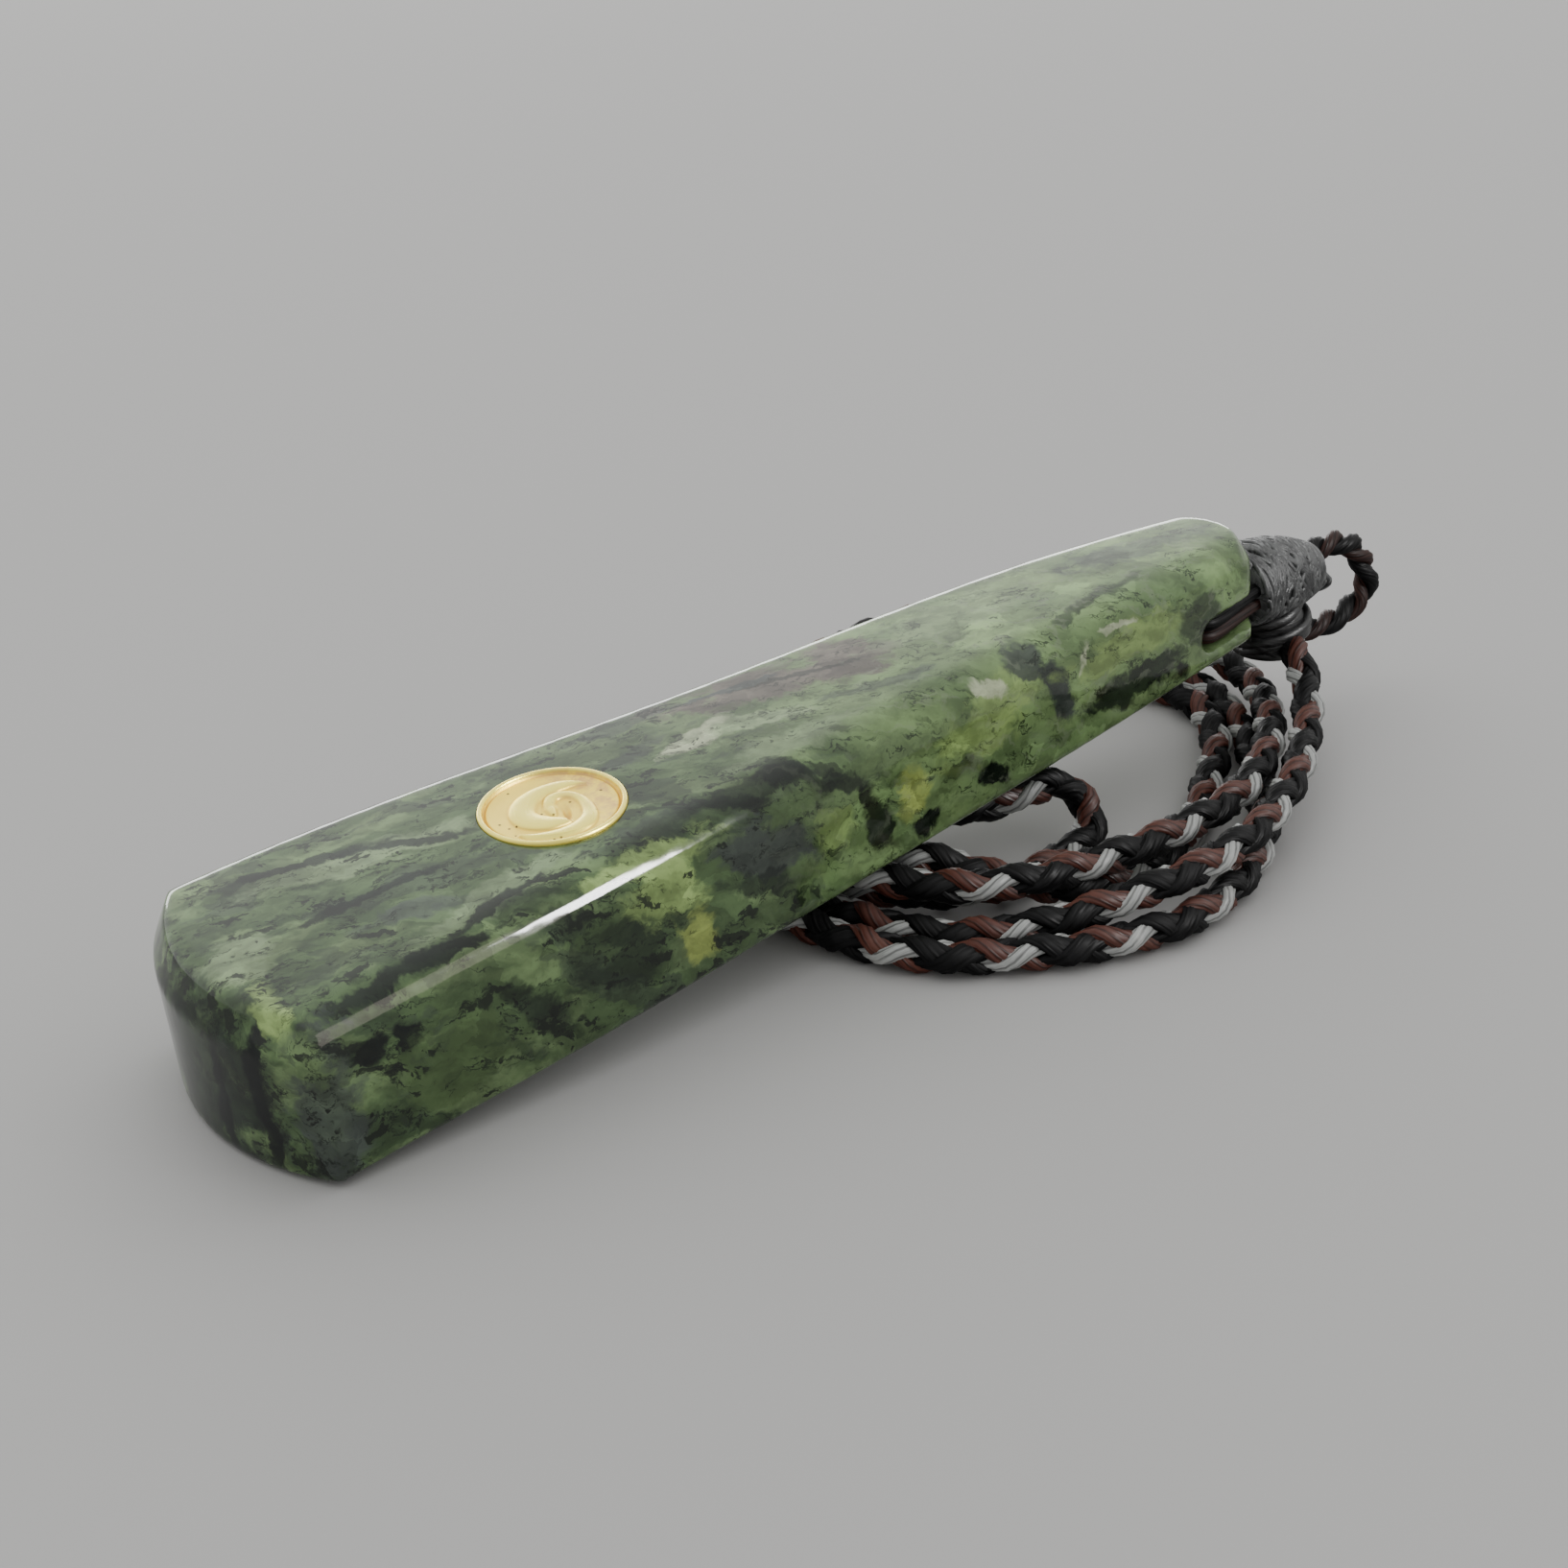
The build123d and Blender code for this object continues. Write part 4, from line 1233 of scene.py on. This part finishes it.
angles = np.arange(POINTS_ROUND) * 2 * math.pi / POINTS_ROUND
radii = np.sqrt(np.linspace(0.0004, 1, RINGS_OF_POINTS)) * disc_radius / MM
flat = np.stack([np.outer(radii, np.cos(angles)).ravel(), np.outer(radii, np.sin(angles)).ravel()], axis=1)
heights, hollow_shades = relief_over(flat, disc_radius / MM)
top_middle = DISC_CENTRE - outward * (DISC_CENTRE.dot(outward) - rim_level)
foot_middle = top_middle - outward * (rim_level - foot_level)
points = [top_middle + (right * x + up * y + outward * min(z, 0.0)) * MM for (x, y), z in zip(flat, heights)]
points += [foot_middle + (right * math.cos(a) + up * math.sin(a)) * disc_radius for a in angles]
points += [top_middle + outward * float(heights[0]) * MM, foot_middle]
wall = RINGS_OF_POINTS * POINTS_ROUND
edge, top_index, foot_index = wall - POINTS_ROUND, wall + POINTS_ROUND, wall + POINTS_ROUND + 1
faces = []
for step in range(POINTS_ROUND):
    after = (step + 1) % POINTS_ROUND
    for ring in range(0, edge, POINTS_ROUND):
        outer_ring = ring + POINTS_ROUND
        faces.append((ring + step, outer_ring + step, outer_ring + after, ring + after))
    faces.append((edge + step, wall + step, wall + after, edge + after))
    faces.append((top_index, step, after))
    faces.append((foot_index, wall + after, wall + step))
disc_mesh = bpy.data.meshes.new("spiral_disc")
disc_mesh.from_pydata([tuple(point) for point in points], [], faces)
disc_mesh.polygons.foreach_set("use_smooth", [True] * len(faces))
# The second attribute carries the painted shade of the hollows
for name, values in (("relief", heights / -FIELD_LEVEL + 1), ("hollow_shade", hollow_shades)):
    every = np.concatenate([values, np.ones(POINTS_ROUND), values[:1], [1.0]])
    attribute = disc_mesh.attributes.new(name, "FLOAT", "POINT")
    attribute.data.foreach_set("value", np.clip(every, 0, 1).astype(np.float32))
disc_mesh.update()
print("disc has", len(faces), "faces and a radius of", round(disc_radius / MM, 2), "mm")

# %% [markdown]
# ## The gold
# The raised parts are rubbed bright, and the sunk field is sandy. Its low parts towards the narrow
# end get a little brown in patches, which is painted shade. The relief attribute that the mesh
# carries says how high each point is, so brightness, roughness and that brown all follow it. A
# second attribute marks the hollows along the rim, beside the arms and in the pit, where painted
# shade makes the gold darkest.

# %% The gold finish
FIELD_GOLD, RAISED_GOLD = (1.0, 0.76, 0.13, 1), (1.0, 0.86, 0.17, 1)
# Colour of the painted shade in the hollows
HOLLOW_SHADE_GOLD = (0.45, 0.20, 0.03, 1)
# Brown of the painted shade on the low parts towards the narrow end
NARROW_SIDE_SHADE_BROWN = (0.62, 0.38, 0.17, 1)
DIRT_COLOUR = (0.10, 0.06, 0.035, 1)

gold, tree, shader = new_finish("gold")
place = millimetres(tree)
raised = add(tree, "ShaderNodeAttribute", {"attribute_name": "relief"}).outputs["Fac"]
hollow_shade = add(tree, "ShaderNodeAttribute", {"attribute_name": "hollow_shade"}).outputs["Fac"]
colour = blend(tree, remap(tree, raised, 0.05, 0.8), FIELD_GOLD, RAISED_GOLD)
# Painted shade: the hollows are darkened
colour = blend(tree, times(tree, hollow_shade, 0.85), colour, HOLLOW_SHADE_GOLD)
# Painted shade: brown in patches on the low parts towards the narrow end
narrow_side = remap(tree, add(tree, "ShaderNodeSeparateXYZ", (), {0: place}).outputs[0], -25.5, -21.5)
patches = remap(tree, clouds(tree, place, 0.9, 4.0, 0.6).outputs[0], 0.42, 0.62)
narrow_side_shade = times(tree, patches, narrow_side, remap(tree, raised, 0.9, 0.1, 0.25, 0.8))
colour = blend(tree, narrow_side_shade, colour, NARROW_SIDE_SHADE_BROWN)
spot = times(tree, remap(tree, cells(tree, place, 1.3)[0], 0.16, 0.09), remap(tree, raised, 0.8, 0.3))
colour = blend(tree, spot, colour, DIRT_COLOUR)
feed(tree, shader.inputs["Base Color"], colour)
shader.inputs["Metallic"].default_value = 1.0
feed(tree, shader.inputs["Roughness"], remap(tree, raised, 0.1, 0.95, 0.42, 0.26))
uneven(tree, shader, clouds(tree, place, 9.0, 4.0, 0.7).outputs[0], 0.5, 0.03)
spiral_disc = new_piece("spiral_disc", disc_mesh, (gold,))
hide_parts("gold_disc")
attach(spiral_disc, "root")
print("gold tree has", len(tree.nodes), "nodes")

# %% [markdown]
# ## Floor and light
# A polished stone is mostly what it mirrors. Its top mirrors a pale wall behind it, so the world
# is bright at the back and dimmer towards the camera, and its long near edge mirrors one small
# bright window, which draws the white line along it. That window and its glow are there for the
# polish alone, so rough surfaces don't see them. The floor is plain, pale and matte.

# %% Floor and light
FLOOR_REACH = 3.0
FLOOR_COLOUR = (0.43, 0.427, 0.423, 1)
TOWARDS_WALL = (0.36, 0.83, 0.42)
WALL_LIGHT = 1.6
FRONT_LIGHT = 0.72

floor_mesh = bpy.data.meshes.new("floor")
corners = [(x * FLOOR_REACH, y * FLOOR_REACH, 0) for x, y in ((-1, -1), (1, -1), (1, 1), (-1, 1))]
floor_mesh.from_pydata(corners, [], [(0, 1, 2, 3)])
floor_finish, tree, shader = new_finish("pale_floor")
shader.inputs["Base Color"].default_value = FLOOR_COLOUR
shader.inputs["Roughness"].default_value = 0.9
shader.inputs["Specular IOR Level"].default_value = 0.2
floor = new_piece("floor", floor_mesh, (floor_finish,))

world = bpy.data.worlds.new("soft_room")
bpy.context.scene.world = world
world.use_nodes = True
tree = world.node_tree
direction = add(tree, "ShaderNodeTexCoord").outputs["Generated"]
facing_wall = vector_math(tree, "DOT_PRODUCT", direction, TOWARDS_WALL)
strength = remap(tree, facing_wall, -0.55, 1.0, FRONT_LIGHT, WALL_LIGHT)
feed(tree, tree.nodes["Background"].inputs["Strength"], strength)
tree.nodes["Background"].inputs["Color"].default_value = (1.0, 1.0, 0.99, 1)


def window(name, place, aim, size, watts, colour=(1, 1, 1), lights_all=False):
    """Soft oblong light at a place, turned to a point of the object. All in metres.

    Unless it lights all, only polished surfaces show it, as their mirror image of a window.
    """
    data = bpy.data.lights.new(name, "AREA")
    data.shape = "RECTANGLE"
    data.size, data.size_y = size
    data.energy = watts
    data.color = colour
    made = bpy.data.objects.new(name, data)
    bpy.context.collection.objects.link(made)
    made.location = place
    made.rotation_euler = (Vector(aim) - Vector(place)).to_track_quat("-Z", "Y").to_euler()
    made.visible_diffuse = lights_all


window("edge_window", (0.185, -0.33, 0.27), (-0.025, -0.009, 0.012), (0.060, 0.14), 2.8)
window("edge_glow", (0.112, -0.33, 0.27), (-0.035, -0.009, 0.012), (0.09, 0.20), 0.17, (1.0, 0.9, 0.78))
window("back_wall", (0.38, 0.72, 0.10), (0.0, 0.0, 0.03), (0.9, 0.20), 3.4, lights_all=True)
print("floor and lights are ready")
